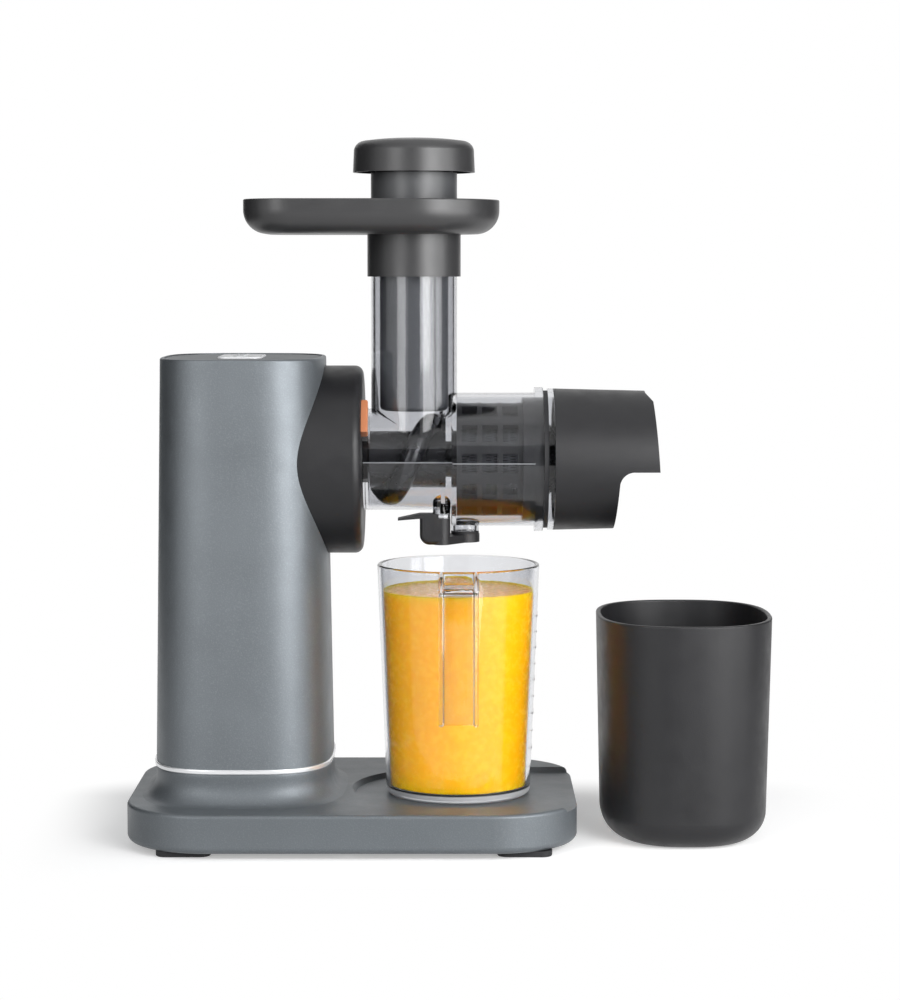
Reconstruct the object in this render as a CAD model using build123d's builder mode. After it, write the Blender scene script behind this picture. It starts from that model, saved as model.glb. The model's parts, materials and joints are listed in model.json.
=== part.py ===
from build123d import *
from math import acos, cos, degrees, pi, radians, sin, tan
import os

os.makedirs("parts", exist_ok=True)

# Cold press juicer, in millimetres: +X runs from the motor tower to the pulp container,
# -Y faces the user and Z is up from the counter. The auger turns about a line along X.

# Fits between pieces.
slip_gap = 0.3           # between curved faces of pieces that move on each other
running_gap = 0.05       # radial play of a shaft in its bush
seat_gap = 0.2           # around a piece that drops into a fixed opening

# Base.
base_overhang = 13.3     # past the drum's right end
base_depth = 186.0
base_corner = 50.0
base_height = 23.0
base_wall = 5.0
base_plate_thickness = 2.5
deck_thickness = 3.0
deck_edge_round = 2.0
foot_height = 3.5
foot_length = 32.0
foot_width = 12.0
foot_from_left = 36.0    # from the base's left end to the middle of a foot
foot_from_right = 31.7
foot_from_front = 16.0
recess_depth = 3.0
recess_margin = 20.8     # around the jug's foot
recess_slope = 35.0      # degrees that the side of the recess leans

# Tower.
tower_x = -124.5
tower_from_left = 67.3
tower_power = 3.2        # exponent of the superellipse that the tower's plan follows
plan_points = 36
tower_head_half_x = 48.7
tower_draft_x = 4.0
tower_draft_y = 2.0
tower_shoulder = 6.7     # from the drive housing to the tower's side
tower_above_housing = 5.5
tower_height = 239.0
tower_wall = 2.5
skirt_height = 18.5
skirt_flare = 9.0
skirt_flare_height = 12.0
skirt_wall = 3.5
skirt_top = 3.0
trim_height = 2.8
trim_proud = 0.9
trim_flange = 11.0
lid_thickness = 3.0
lid_inset = 0.6
ledge_width = 3.5
ledge_height = 2.5
tower_boss_inset = 17.0
tower_boss_radius = 5.0
tower_boss_height = 15.0
inlet_above_foot = 18.2

# Drive.
housing_reach = 71.5     # from the tower's middle to the housing's face
housing_length = 39.0
housing_wall = 3.0
housing_plate = 4.0
housing_round = 5.0
bulkhead_setback = 9.0   # from the back of the housing's front plate
bulkhead_thickness = 4.0
module_fast = 1.0
module_slow = 1.25
pinion_teeth = 14
fast_gear_teeth = 70
slow_gear_teeth = 56
gear_addendum = 0.8      # in modules
gear_dedendum = 1.15     # in modules
gear_backlash = 0.36
pressure_angle = 20.0
fast_gear_width = 7.0
slow_gear_width = 8.5
gear_spacing = 2.0
gearbox_floor = 3.0
gearbox_wall = 2.5
gearbox_clearance = 1.5
gearbox_cover_thickness = 2.5
output_shaft_radius = 6.0
layshaft_radius = 4.0
motor_shaft_radius = 4.0
bush_wall = 2.0
bush_pocket_wall = 3.0
bush_length = 9.0
motor_gap = 1.0          # between the motor and the layshaft's bush pocket
motor_length = 41.0
motor_wall = 1.5
stator_bore = 17.5
air_gap = 0.5
stack_length = 28.0
fan_radius = 26.0
fan_width = 6.0
fan_blades = 7

# Juicing chamber.
barrel_wall = 2.0
drum_wall = 2.5
drum_length = 60.6
rim_proud = 2.5
collar_proud = 0.8       # of the inner rim past the outer one
rim_inner_width = 5.1
rim_outer_width = 3.6
cap_seal_width = 2.7
neck_step = 0.5
neck_length = 9.2
coupling_step = 3.3
coupling_wall = 3.2
coupling_length = 10.9
coupling_lug = 4.0
coupling_lug_width = 3.6
coupling_lug_angle = 24.0
chamber_twist_angle = 30.0
end_plate = 3.0
shaft_seal_radius = 10.0
chute_gap = 4.7          # between the housing's face and the chute
chute_overlap = 3.1      # how far the chute runs on over the drum
chute_radius = 25.8
chute_wall = 2.3
spout_from_drum = 7.8
spout_radius = 8.4
spout_bore = 6.2
spout_length = 2.85

# Auger and strainer.
auger_radius = 27.6
flight_clearance = 0.9   # inside the barrel
screen_clearance = 1.1   # inside the screen
auger_core = 17.0
auger_end_core = 21.0
auger_pitch = 53.0
auger_end_gap = 0.6
auger_overhang = 5.2     # past the drum's right end
auger_hub_radius = 8.0
auger_neck_radius = 10.8
auger_neck_length = 3.4
auger_neck_gap = 0.4     # between the neck and the drum's left face
auger_pin_radius = 5.0
auger_pin_length = 13.0
auger_first_bottom = 11.1   # from the auger's left face to where the flight is lowest
hex_radius = 5.2
screen_thickness = 0.6
cage_wall = 4.7
juice_gap = 3.5          # between the cage and the drum
strainer_collar = 12.0
strainer_gap = 0.3

# End cap.
cap_taper = 1.5
cap_wall = 2.7
cap_body_length = 35.7
cap_nose_length = 25.8
hood_drop = 5.1          # from the auger's axis to the hood's open edge
cap_lug_angle = 12.0
cap_lug_setback = 3.4    # from the drum's right end
cap_lug_width = 2.8
cap_twist_angle = 28.0

# Feed tray and pusher.
chute_height = 134.6     # from the auger's axis to the tray
tray_height = 20.3
tray_wall = 2.5
tray_round = 14.0
tray_radius = 51.0
tray_reach = 100.2       # from the chute's middle to the tray's left end
tray_left_radius = 28.0
collar_wall = 1.8
collar_depth = 25.1
pusher_play = 3.0        # inside the chute
pusher_seat = 2.2        # how far the neck laps over the chute's bore
pusher_auger_gap = 1.9
pusher_wall = 2.5
pusher_cap_radius = 36.35
pusher_neck_height = 36.7
pusher_cap_height = 20.2

# Drip stop.
pivot_from_drum = 6.2
pivot_y = -18.0
pivot_pin_radius = 2.6
lever_gap = 0.6          # between the lever and the barrel
lever_arm_thickness = 4.8
lever_reach = 13.0       # from the pivot to the lever's left side
lever_round = 5.3
lever_hub_drop = 3.0     # from the lever's top to its round hub
leaf_length = 13.0
leaf_drop = 2.8
leaf_root = 2.6
leaf_tip = 1.1
pad_thickness = 1.75

# Latch and control buttons.
latch_spacing = 8.4      # from the coupling's socket to the latch
latch_inset = 1.3
latch_width = 9.0
latch_from = 134.0       # degrees from +Y towards +Z, about the auger's axis
latch_to = 158.0
latch_proud = 3.8
latch_travel = 3.0
panel_width = 26.0
panel_depth = 52.0
panel_from_middle = -1.4
panel_y = 3.0
panel_thickness = 1.0
button_thickness = 0.8
button_radius = 4.2
button_pitch = 13.0
button_travel = 0.6

# Jug.
jug_from_spout = 4.0
jug_y = -6.0
jug_clearance = 12.6     # between the jug's rim and the drip stop's lever
jug_top_radius = 48.8
jug_bottom_radius = 43.3
jug_wall = 2.5
jug_floor = 5.5
jug_foot_round = 4.0
handle_width = 23.0
handle_wall = 2.8
handle_depth = 10.0
handle_reach = 35.0
handle_length = 85.8

# Pulp container.
container_gap = 13.1
container_y = -7.5
container_power = 2.6    # exponent of its plan's superellipse
container_half_x = 52.2
container_half_y = 65.3
container_height = 132.8
container_draft = 3.0
container_wall = 2.8
container_round = 16.0
container_rim_round = 0.9
container_steps = 6      # sections that make up the rounded foot

# Heights and stations that follow from the sizes above.
deck = foot_height + base_height
base_ceiling = deck - recess_depth - deck_thickness
recess_floor = deck - recess_depth
skirt_head = deck + skirt_height
tower_bottom = skirt_head + trim_height
tower_top = tower_bottom + tower_height
lid_top = tower_top - lid_inset
lid_bottom = lid_top - lid_thickness
barrel_bore = auger_radius + flight_clearance
barrel_radius = barrel_bore + barrel_wall
screen_bore = auger_radius + screen_clearance
screen_outer = screen_bore + screen_thickness
strainer_radius = screen_outer + cage_wall
drum_bore = strainer_radius + juice_gap
drum_radius = drum_bore + drum_wall
rim_radius = drum_radius + rim_proud
neck_radius = drum_radius - neck_step
cap_radius = rim_radius
coupling_radius = barrel_radius - coupling_step
socket_radius = coupling_radius + coupling_lug + 0.4
latch_inner = socket_radius + housing_wall + latch_spacing
latch_outer = latch_inner + latch_width
housing_radius = latch_outer + latch_inset + housing_wall
tower_head_half_y = housing_radius + tower_shoulder
tower_foot_half_x = tower_head_half_x + tower_draft_x
tower_foot_half_y = tower_head_half_y + tower_draft_y
tower_boss_x = tower_foot_half_x - tower_boss_inset
tower_boss_y = tower_foot_half_y - tower_boss_inset
foot_row = base_depth / 2 - foot_from_front
axis_z = tower_top - tower_above_housing - housing_radius
housing_face = tower_x + housing_reach
housing_left = housing_face - housing_length
housing_plate_back = housing_face - housing_plate
bulkhead_face = housing_plate_back - bulkhead_setback
bulkhead_back = bulkhead_face - bulkhead_thickness
slow_centres = module_slow * (slow_gear_teeth + pinion_teeth) / 2
fast_centres = module_fast * (fast_gear_teeth + pinion_teeth) / 2
layshaft_z = axis_z - slow_centres
motor_z = layshaft_z - fast_centres
motor_radius = fast_centres - layshaft_radius - bush_wall - bush_pocket_wall - motor_gap
cover_right = housing_left
cover_left = cover_right - gearbox_cover_thickness
slow_gear_left = cover_left - gear_spacing - slow_gear_width
fast_gear_left = slow_gear_left - gear_spacing - fast_gear_width
gearbox_left = fast_gear_left - gear_spacing - gearbox_floor
chamber_left = housing_face + slip_gap
chute_x = housing_face + chute_gap + chute_radius
chute_bore = chute_radius - chute_wall
drum_left = chute_x + chute_radius - chute_overlap
drum_right = drum_left + drum_length
base_left = tower_x - tower_from_left
base_right = drum_right + base_overhang
base_length = base_right - base_left
base_centre = (base_left + base_right) / 2
rim_seal_x = drum_right - rim_outer_width - cap_seal_width
rim_inner_x = rim_seal_x - rim_inner_width
auger_left = chamber_left + end_plate + auger_end_gap
auger_right = drum_right + auger_overhang
strainer_end = rim_seal_x - strainer_gap
strainer_right = strainer_end - strainer_collar
tray_bottom = axis_z + chute_height
chute_top = tray_bottom - slip_gap
pusher_radius = chute_bore - pusher_play
pusher_neck_radius = chute_bore + pusher_seat
pusher_bottom = axis_z + auger_radius + pusher_auger_gap
pusher_cap_bottom = tray_bottom + pusher_neck_height
spout_x = drum_left + spout_from_drum
pivot_x = drum_left - pivot_from_drum
spout_bottom = axis_z - drum_radius - spout_length
pad_top = spout_bottom - slip_gap
lever_arm_top = pad_top - pad_thickness
lever_bottom = lever_arm_top - lever_arm_thickness
lever_top = axis_z - barrel_radius - lever_gap
lever_hub_top = lever_top - lever_hub_drop
jug_x = spout_x - jug_from_spout
jug_top = lever_bottom - jug_clearance
jug_bottom = recess_floor
recess_radius = jug_bottom_radius + recess_margin

across = Plane((0, 0, axis_z), x_dir=(0, 1, 0), z_dir=(1, 0, 0))
drive_axis = Axis((0, 0, axis_z), (1, 0, 0))
lay_plane = Plane((0, 0, layshaft_z), x_dir=(0, 1, 0), z_dir=(1, 0, 0))
motor_plane = Plane((0, 0, motor_z), x_dir=(0, 1, 0), z_dir=(1, 0, 0))


def superellipse(half_x, half_y, power):
    """Points of a superellipse about the origin."""
    points = []
    for step in range(plan_points):
        turn = 2 * pi * step / plan_points
        width = abs(cos(turn) / half_x) ** power
        depth = abs(sin(turn) / half_y) ** power
        radius = (width + depth) ** (-1 / power)
        points.append((radius * cos(turn), radius * sin(turn)))
    return points


def squircle(x, z, half_x, half_y, y=0, power=tower_power):
    """Face of a rounded plan, centred at x and y, at height z."""
    with BuildSketch(Plane((x, y, z))) as face:
        with BuildLine():
            Spline(*superellipse(half_x, half_y, power), periodic=True)
        make_face()
    return face.sketch


def base_outline(z, inset):
    """Face of the base's plan at height z, drawn in by an inset."""
    with BuildSketch(Plane((base_centre, 0, z))) as face:
        RectangleRounded(base_length - 2 * inset, base_depth - 2 * inset, base_corner - inset)
    return face.sketch


def ring_sector(plane, inner, outer, start, end):
    """Face between two radii and two angles, in degrees."""
    with BuildSketch(plane) as face:
        with BuildLine():
            CenterArc((0, 0), inner, start, end - start)
            CenterArc((0, 0), outer, start, end - start)
            for angle in (start, end):
                PolarLine((inner * cos(radians(angle)), inner * sin(radians(angle))),
                          outer - inner, angle)
        make_face()
    return face.sketch


def tube(plane, outer, inner, length):
    """Round tube that starts on a plane; an inner radius of 0 makes a rod."""
    with BuildPart() as pipe:
        with BuildSketch(plane):
            Circle(outer)
            if inner > 0:
                Circle(inner, mode=Mode.SUBTRACT)
        extrude(amount=length)
    return pipe.part


def screw(plane, shank, length, head, head_height):
    """Pan head screw: its shank runs along the plane's normal, its head lies behind the plane."""
    with BuildPart() as fastener:
        with BuildSketch(plane):
            Circle(shank)
        extrude(amount=length)
        with BuildSketch(plane):
            Circle(head)
        extrude(amount=-head_height)
        with BuildSketch(plane.offset(-head_height)):
            Rectangle(head * 1.2, head * 0.3)
            Rectangle(head * 0.3, head * 1.2)
        extrude(amount=head_height / 2, mode=Mode.SUBTRACT)
    return fastener.part


def gear_points(teeth, module, first_tooth):
    """Outline of a spur gear with straight-sided approximations of involute flanks."""
    pitch_radius = teeth * module / 2
    base_radius = pitch_radius * cos(radians(pressure_angle))
    tip_radius = pitch_radius + gear_addendum * module
    root_radius = pitch_radius - gear_dedendum * module
    pitch_half = (pi * module / 2 - gear_backlash) / 2 / pitch_radius
    involute_at_pitch = tan(radians(pressure_angle)) - radians(pressure_angle)

    def half_tooth(radius):
        slope = acos(min(1.0, base_radius / radius))
        return pitch_half + involute_at_pitch - (tan(slope) - slope)

    radii = [root_radius, pitch_radius, tip_radius]
    points = []
    for tooth in range(teeth):
        centre = radians(first_tooth) + 2 * pi * tooth / teeth
        for radius in radii:
            angle = centre - half_tooth(radius)
            points.append((radius * cos(angle), radius * sin(angle)))
        for radius in reversed(radii):
            angle = centre + half_tooth(radius)
            points.append((radius * cos(angle), radius * sin(angle)))
    return points


def spur_gear(plane, teeth, module, first_tooth, width, bore):
    """Spur gear whose face starts on a plane; angles run from +Y towards +Z."""
    with BuildPart() as gear:
        with BuildSketch(plane):
            with BuildLine():
                Polyline(*gear_points(teeth, module, first_tooth), close=True)
            make_face()
            Circle(bore, mode=Mode.SUBTRACT)
        extrude(amount=width)
    return gear.part


def write(part, name):
    """Label a finished piece and write its STEP file."""
    part.label = name
    export_step(part, f"parts/{name}.step")


# Base shell: a hollow deck with the tower's flared skirt, and a recess that the jug stands in.
skirt_sections = [(deck - 1.0, skirt_flare + 1.5)]
for step in range(5):
    turn = radians(5 + 85 * step / 4)
    section_z = deck + skirt_flare_height * (1 - cos(turn))
    skirt_sections.append((section_z, skirt_flare * (1 - sin(turn))))
skirt_sections.append((skirt_head, 0.0))
capacitor_x = tower_x - 21.5
capacitor_radius = 14.0
capacitor_length = motor_z - motor_radius - skirt_head - 16.25
base_boss_places = []
for side in (-1, 1):
    base_boss_places.append((base_left + 23, side * (base_depth / 2 - 32)))
    base_boss_places.append((base_centre - 1, side * (base_depth / 2 - 14)))
    base_boss_places.append((base_right - 23, side * (base_depth / 2 - 22)))
base_boss_radius = 5.0
base_screw_radius = 1.6

with BuildPart() as base_shell:
    extrude(base_outline(foot_height, 0), amount=base_height)
    fillet(base_shell.edges().group_by(Axis.Z)[0], base_wall - 1.0)
    fillet(base_shell.edges().group_by(Axis.Z)[-1], deck_edge_round)
    loft([squircle(tower_x, z, tower_foot_half_x + out, tower_foot_half_y + out)
          for z, out in skirt_sections])
    with BuildSketch(Plane.XY.offset(deck)):
        with Locations((jug_x, jug_y)):
            Circle(recess_radius)
            Rectangle(base_length, 2 * recess_radius, align=(Align.MIN, Align.CENTER))
    extrude(amount=-recess_depth, taper=recess_slope, mode=Mode.SUBTRACT)
    extrude(base_outline(foot_height, base_wall), amount=base_ceiling - foot_height,
            mode=Mode.SUBTRACT)
    extrude(squircle(tower_x, foot_height, tower_foot_half_x - skirt_wall,
                     tower_foot_half_y - skirt_wall),
            amount=skirt_head - skirt_top - foot_height, mode=Mode.SUBTRACT)
    with BuildSketch(Plane.XY.offset(skirt_head)):
        with Locations((tower_x + 20, 0)):
            RectangleRounded(24, 40, 5)
    extrude(amount=-skirt_top, mode=Mode.SUBTRACT)
    with BuildSketch(Plane.XY.offset(skirt_head)):
        with Locations((capacitor_x, 0)):
            Circle(capacitor_radius + seat_gap + 1.8)
            Circle(capacitor_radius + seat_gap, mode=Mode.SUBTRACT)
    extrude(amount=12)
    with BuildSketch(Plane.XY.offset(foot_height + base_plate_thickness)):
        with Locations(*base_boss_places):
            Circle(base_boss_radius)
    extrude(amount=base_ceiling - foot_height - base_plate_thickness)
    with Locations(*[(x, y, foot_height + base_plate_thickness) for x, y in base_boss_places]):
        Cylinder(base_screw_radius, 9, align=(Align.CENTER, Align.CENTER, Align.MIN),
                 mode=Mode.SUBTRACT)
    with Locations((tower_x, 0, skirt_head)):
        with GridLocations(2 * tower_boss_x, 2 * tower_boss_y, 2, 2):
            Cylinder(2.2, 2 * skirt_top, mode=Mode.SUBTRACT)
write(base_shell.part, "base_shell")

# Base plate: it closes the underside and breathes through two rows of slots.
base_screw_head = 3.0
base_screw_sink = 1.6
with BuildPart() as base_plate:
    extrude(base_outline(foot_height, base_wall + seat_gap), amount=base_plate_thickness)
    with Locations((tower_x, 0, foot_height), (0, 0, foot_height)):
        with GridLocations(9, 60, 7, 2):
            Box(4, 34, 3 * base_plate_thickness, mode=Mode.SUBTRACT)
    with Locations(*[(x, y, foot_height) for x, y in base_boss_places]):
        Cylinder(base_screw_head + seat_gap, 2 * base_screw_sink, mode=Mode.SUBTRACT)
        Cylinder(base_screw_radius + 0.2, 3 * base_plate_thickness, mode=Mode.SUBTRACT)
write(base_plate.part, "base_plate")

with BuildPart() as base_screws:
    for x, y in base_boss_places:
        seat = Plane((x, y, foot_height + base_screw_sink))
        add(screw(seat, base_screw_radius, 8.0, base_screw_head, base_screw_sink))
write(base_screws.part, "base_screws")

with BuildPart() as feet:
    with BuildSketch():
        for x in (base_left + foot_from_left, base_right - foot_from_right):
            with Locations((x, foot_row), (x, -foot_row)):
                SlotOverall(foot_length, foot_width)
    extrude(amount=foot_height)
    fillet(feet.edges().group_by(Axis.Z)[0], 0.8)
write(feet.part, "feet")

# Trim ring clamped between the skirt and the tower.
with BuildPart() as trim_ring:
    extrude(squircle(tower_x, skirt_head, tower_foot_half_x + trim_proud,
                     tower_foot_half_y + trim_proud), amount=trim_height)
    extrude(squircle(tower_x, skirt_head, tower_foot_half_x - trim_flange,
                     tower_foot_half_y - trim_flange), amount=trim_height, mode=Mode.SUBTRACT)
    with Locations((tower_x, 0, skirt_head)):
        with GridLocations(2 * tower_boss_x, 2 * tower_boss_y, 2, 2):
            Cylinder(2.2, 3 * trim_height, mode=Mode.SUBTRACT)
    fillet(trim_ring.edges().filter_by(GeomType.BSPLINE).sort_by(SortBy.LENGTH)[-2:], 0.6)
write(trim_ring.part, "trim_ring")

# Tower shell, with a flange at its foot, a ledge for the lid and openings for the drive
# housing and the power inlet.
inlet_z = tower_bottom + inlet_above_foot
inlet_width = 22.0
inlet_height = 16.0
inlet_depth = 18.0
inlet_flange = 2.5
inlet_flange_thickness = 1.6
with BuildPart() as tower_shell:
    loft([squircle(tower_x, tower_bottom, tower_foot_half_x, tower_foot_half_y),
          squircle(tower_x, tower_top, tower_head_half_x, tower_head_half_y)])
    fillet(tower_shell.edges().group_by(Axis.Z)[-1], 1.2)
    loft([squircle(tower_x, tower_bottom, tower_foot_half_x - tower_wall,
                   tower_foot_half_y - tower_wall),
          squircle(tower_x, tower_top, tower_head_half_x - tower_wall,
                   tower_head_half_y - tower_wall)], mode=Mode.SUBTRACT)
    extrude(squircle(tower_x, lid_bottom, tower_head_half_x - 1, tower_head_half_y - 1),
            amount=-ledge_height)
    extrude(squircle(tower_x, lid_bottom, tower_head_half_x - tower_wall - ledge_width,
                     tower_head_half_y - tower_wall - ledge_width),
            amount=-ledge_height, mode=Mode.SUBTRACT)
    extrude(squircle(tower_x, tower_bottom, tower_foot_half_x - 1, tower_foot_half_y - 1),
            amount=tower_wall)
    extrude(squircle(tower_x, tower_bottom, tower_foot_half_x - trim_flange,
                     tower_foot_half_y - trim_flange), amount=tower_wall, mode=Mode.SUBTRACT)
    with Locations((tower_x, 0, tower_bottom)):
        with GridLocations(2 * tower_boss_x, 2 * tower_boss_y, 2, 2):
            Cylinder(tower_boss_radius, tower_boss_height,
                     align=(Align.CENTER, Align.CENTER, Align.MIN))
            Cylinder(2.0, tower_boss_height - 2, align=(Align.CENTER, Align.CENTER, Align.MIN),
                     mode=Mode.SUBTRACT)
    with BuildSketch(across.offset(housing_left - 0.5)):
        Circle(housing_radius + seat_gap)
    extrude(amount=housing_length, mode=Mode.SUBTRACT)
    with Locations((tower_x, tower_foot_half_y, inlet_z)):
        Box(inlet_width + 2 * seat_gap, 4 * tower_wall, inlet_height + 2 * seat_gap,
            mode=Mode.SUBTRACT)
write(tower_shell.part, "tower_shell")

with BuildPart() as tower_screws:
    for x in (tower_x - tower_boss_x, tower_x + tower_boss_x):
        for y in (-tower_boss_y, tower_boss_y):
            add(screw(Plane((x, y, skirt_head - skirt_top)), 1.9, skirt_top + trim_height + 11,
                      3.6, 2.4))
write(tower_screws.part, "tower_screws")

# Lid in the tower's mouth, with posts for the control board and holes for the buttons.
board_thickness = 1.6
board_top = lid_bottom - 13.0
board_x = tower_x - 3
board_post_x = 54.0
board_post_y = 70.0
lid_half_x = tower_head_half_x - tower_wall - slip_gap
lid_half_y = tower_head_half_y - tower_wall - slip_gap
panel_x = tower_x + panel_from_middle
button_places = [(panel_x, panel_y + step * button_pitch) for step in (-1, 0, 1)]
button_names = ["power_button", "start_button", "reverse_button"]
button_stem = 2.0
with BuildPart() as tower_lid:
    extrude(squircle(tower_x, lid_bottom, lid_half_x, lid_half_y), amount=lid_thickness)
    with BuildSketch(Plane((board_x, 0, board_top))):
        with GridLocations(board_post_x, board_post_y, 2, 2):
            Circle(3)
    extrude(amount=lid_bottom - board_top)
    with Locations(*[(x, y, lid_top) for x, y in button_places]):
        Cylinder(button_stem + slip_gap, 3 * lid_thickness, mode=Mode.SUBTRACT)
write(tower_lid.part, "tower_lid")

with BuildPart() as control_panel:
    with BuildSketch(Plane((panel_x, panel_y, lid_top))):
        RectangleRounded(panel_width, panel_depth, 5)
    extrude(amount=panel_thickness)
    fillet(control_panel.edges().group_by(Axis.Z)[-1], 0.6)
    with Locations(*[(x, y, lid_top) for x, y in button_places]):
        Cylinder(button_radius + slip_gap, 3 * panel_thickness, mode=Mode.SUBTRACT)
write(control_panel.part, "control_panel")

switch_top = board_top + 6.6
for (button_x, button_y), button_name in zip(button_places, button_names):
    with BuildPart() as button:
        with BuildSketch(Plane((button_x, button_y, lid_top + button_travel + 0.1))):
            Circle(button_radius)
        extrude(amount=button_thickness)
        fillet(button.edges().group_by(Axis.Z)[-1], 0.5)
        with BuildSketch(Plane((button_x, button_y, switch_top + button_travel + 0.1))):
            Circle(button_stem)
        extrude(amount=lid_top - switch_top + 0.5)
    write(button.part, button_name)

with BuildPart() as control_board:
    with BuildSketch(Plane((board_x, 0, board_top))):
        RectangleRounded(board_post_x + 10, board_post_y + 12, 3)
    extrude(amount=-board_thickness)
write(control_board.part, "control_board")

with BuildPart() as tact_switches:
    for x, y in button_places:
        with Locations((x, y, board_top)):
            Box(6, 6, 4.6, align=(Align.CENTER, Align.CENTER, Align.MIN))
            Cylinder(1.7, switch_top - board_top, align=(Align.CENTER, Align.CENTER, Align.MIN))
write(tact_switches.part, "tact_switches")

# Power inlet in the back of the tower: a socket with two pins.
inlet_face = tower_foot_half_y + 0.1
with BuildPart() as power_inlet:
    with Locations((tower_x, inlet_face, inlet_z)):
        Box(inlet_width, inlet_depth, inlet_height, align=(Align.CENTER, Align.MAX, Align.CENTER))
        Box(inlet_width + 2 * inlet_flange, inlet_flange_thickness,
            inlet_height + 2 * inlet_flange, align=(Align.CENTER, Align.MIN, Align.CENTER))
    with BuildSketch(Plane((tower_x, inlet_face + inlet_flange_thickness, inlet_z),
                           x_dir=(1, 0, 0), z_dir=(0, 1, 0))):
        SlotOverall(16, 9)
    extrude(amount=-14, mode=Mode.SUBTRACT)
    with Locations((tower_x - 4, inlet_face - 10, inlet_z), (tower_x + 4, inlet_face - 10, inlet_z)):
        Cylinder(1.2, 9, rotation=(90, 0, 0))
write(power_inlet.part, "power_inlet")

with BuildPart() as motor_capacitor:
    with BuildSketch(Plane((capacitor_x, 0, skirt_head))):
        Circle(capacitor_radius)
    extrude(amount=capacitor_length)
    fillet(motor_capacitor.edges(), 1.2)
write(motor_capacitor.part, "motor_capacitor")

# Drive housing: the round drum that joins the tower to the juicing chamber.
housing_boss_y = housing_radius - 11.5
housing_boss_z = 20.4
housing_boss_radius = 4.6
latch_gap_angle = degrees(slip_gap / latch_inner)
with BuildPart() as drive_housing:
    with BuildSketch(across.offset(housing_left)):
        Circle(housing_radius)
    extrude(amount=housing_length)
    fillet(drive_housing.edges().group_by(Axis.X)[-1], housing_round)
    with BuildSketch(across.offset(housing_left)):
        Circle(housing_radius - housing_wall)
    extrude(amount=housing_length - housing_plate, mode=Mode.SUBTRACT)
    with BuildSketch(across.offset(bulkhead_back)):
        Circle(housing_radius - housing_wall)
    extrude(amount=bulkhead_thickness)
    with BuildSketch(across.offset(bulkhead_face)):
        Circle(socket_radius + housing_wall)
    extrude(amount=bulkhead_setback)
    with BuildSketch(across.offset(bulkhead_face)):
        Circle(socket_radius)
    extrude(amount=bulkhead_setback, mode=Mode.SUBTRACT)
    with BuildSketch(across.offset(housing_plate_back)):
        Circle(coupling_radius + slip_gap)
    extrude(amount=housing_plate, mode=Mode.SUBTRACT)
    for lug_centre in (0, 180):
        notch_from = lug_centre + chamber_twist_angle - coupling_lug_angle / 2 - 1.5
        extrude(ring_sector(across.offset(housing_plate_back), coupling_radius - 2,
                            socket_radius, notch_from, notch_from + coupling_lug_angle + 3),
                amount=housing_plate, mode=Mode.SUBTRACT)
    with BuildSketch(across.offset(housing_left)):
        with GridLocations(2 * housing_boss_y, 2 * housing_boss_z, 2, 2):
            Circle(housing_boss_radius)
    extrude(amount=bulkhead_back - housing_left)
    with BuildSketch(across.offset(bulkhead_back)):
        Circle(output_shaft_radius + bush_wall + housing_wall)
    extrude(amount=-(bush_length - bulkhead_thickness))
    with BuildSketch(across.offset(bulkhead_face)):
        Circle(output_shaft_radius + bush_wall)
    extrude(amount=-bush_length, mode=Mode.SUBTRACT)
    with BuildSketch(across.offset(housing_left)):
        with GridLocations(2 * housing_boss_y, 2 * housing_boss_z, 2, 2):
            Circle(1.7)
    extrude(amount=14, mode=Mode.SUBTRACT)
    extrude(ring_sector(across.offset(housing_plate_back), latch_inner - slip_gap,
                        latch_outer + slip_gap, latch_from - latch_gap_angle,
                        latch_to + latch_gap_angle), amount=2 * housing_plate, mode=Mode.SUBTRACT)
    extrude(ring_sector(across.offset(housing_face - 2), latch_inner + 1, latch_outer - 3,
                        latch_to + 2.5, latch_to + 10), amount=4, mode=Mode.SUBTRACT)
write(drive_housing.part, "drive_housing")

# Latch button: a curved key in the housing's face, backed by a flange, a spring and a switch.
latch_flange = 1.6
latch_back = housing_plate_back - slip_gap
spring_length = latch_back - latch_flange - bulkhead_face
spring_angle = latch_from + 6.5
latch_middle = (latch_inner + latch_outer) / 2
with BuildPart() as latch_button:
    extrude(ring_sector(across.offset(latch_back), latch_inner, latch_outer, latch_from, latch_to),
            amount=housing_face + latch_proud - latch_back)
    fillet(latch_button.edges().group_by(Axis.X)[-1], 1.0)
    extrude(ring_sector(across.offset(latch_back), latch_inner - 1.2, latch_outer - 1.6,
                        latch_from - 1.5, latch_to + 1.5), amount=-latch_flange)
write(latch_button.part, "latch_button")

spring_wire = 0.4
spring_radius = 2.4
spring_y = latch_middle * cos(radians(spring_angle))
spring_z = axis_z + latch_middle * sin(radians(spring_angle))
with BuildPart() as latch_spring:
    with BuildLine():
        coil = Helix(pitch=1.7, height=spring_length - 2 * spring_wire - 0.1, radius=spring_radius,
                     center=(bulkhead_face + spring_wire + 0.05, spring_y, spring_z),
                     direction=(1, 0, 0))
    with BuildSketch(Plane(origin=coil @ 0, z_dir=coil % 0)):
        Circle(spring_wire)
    sweep(is_frenet=True)
write(latch_spring.part, "latch_spring")

switch_angle = latch_to - 7.0
switch_plane = Plane(origin=(bulkhead_face, latch_middle * cos(radians(switch_angle)),
                             axis_z + latch_middle * sin(radians(switch_angle))),
                     x_dir=(0, cos(radians(switch_angle)), sin(radians(switch_angle))),
                     z_dir=(1, 0, 0))
with BuildPart() as interlock_switch:
    with BuildSketch(switch_plane):
        Rectangle(7, 9)
    extrude(amount=spring_length - latch_travel - 1.0)
    with BuildSketch(switch_plane.offset(spring_length - latch_travel - 1.0)):
        Rectangle(1.6, 2.6)
    extrude(amount=0.7)
write(interlock_switch.part, "interlock_switch")

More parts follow.
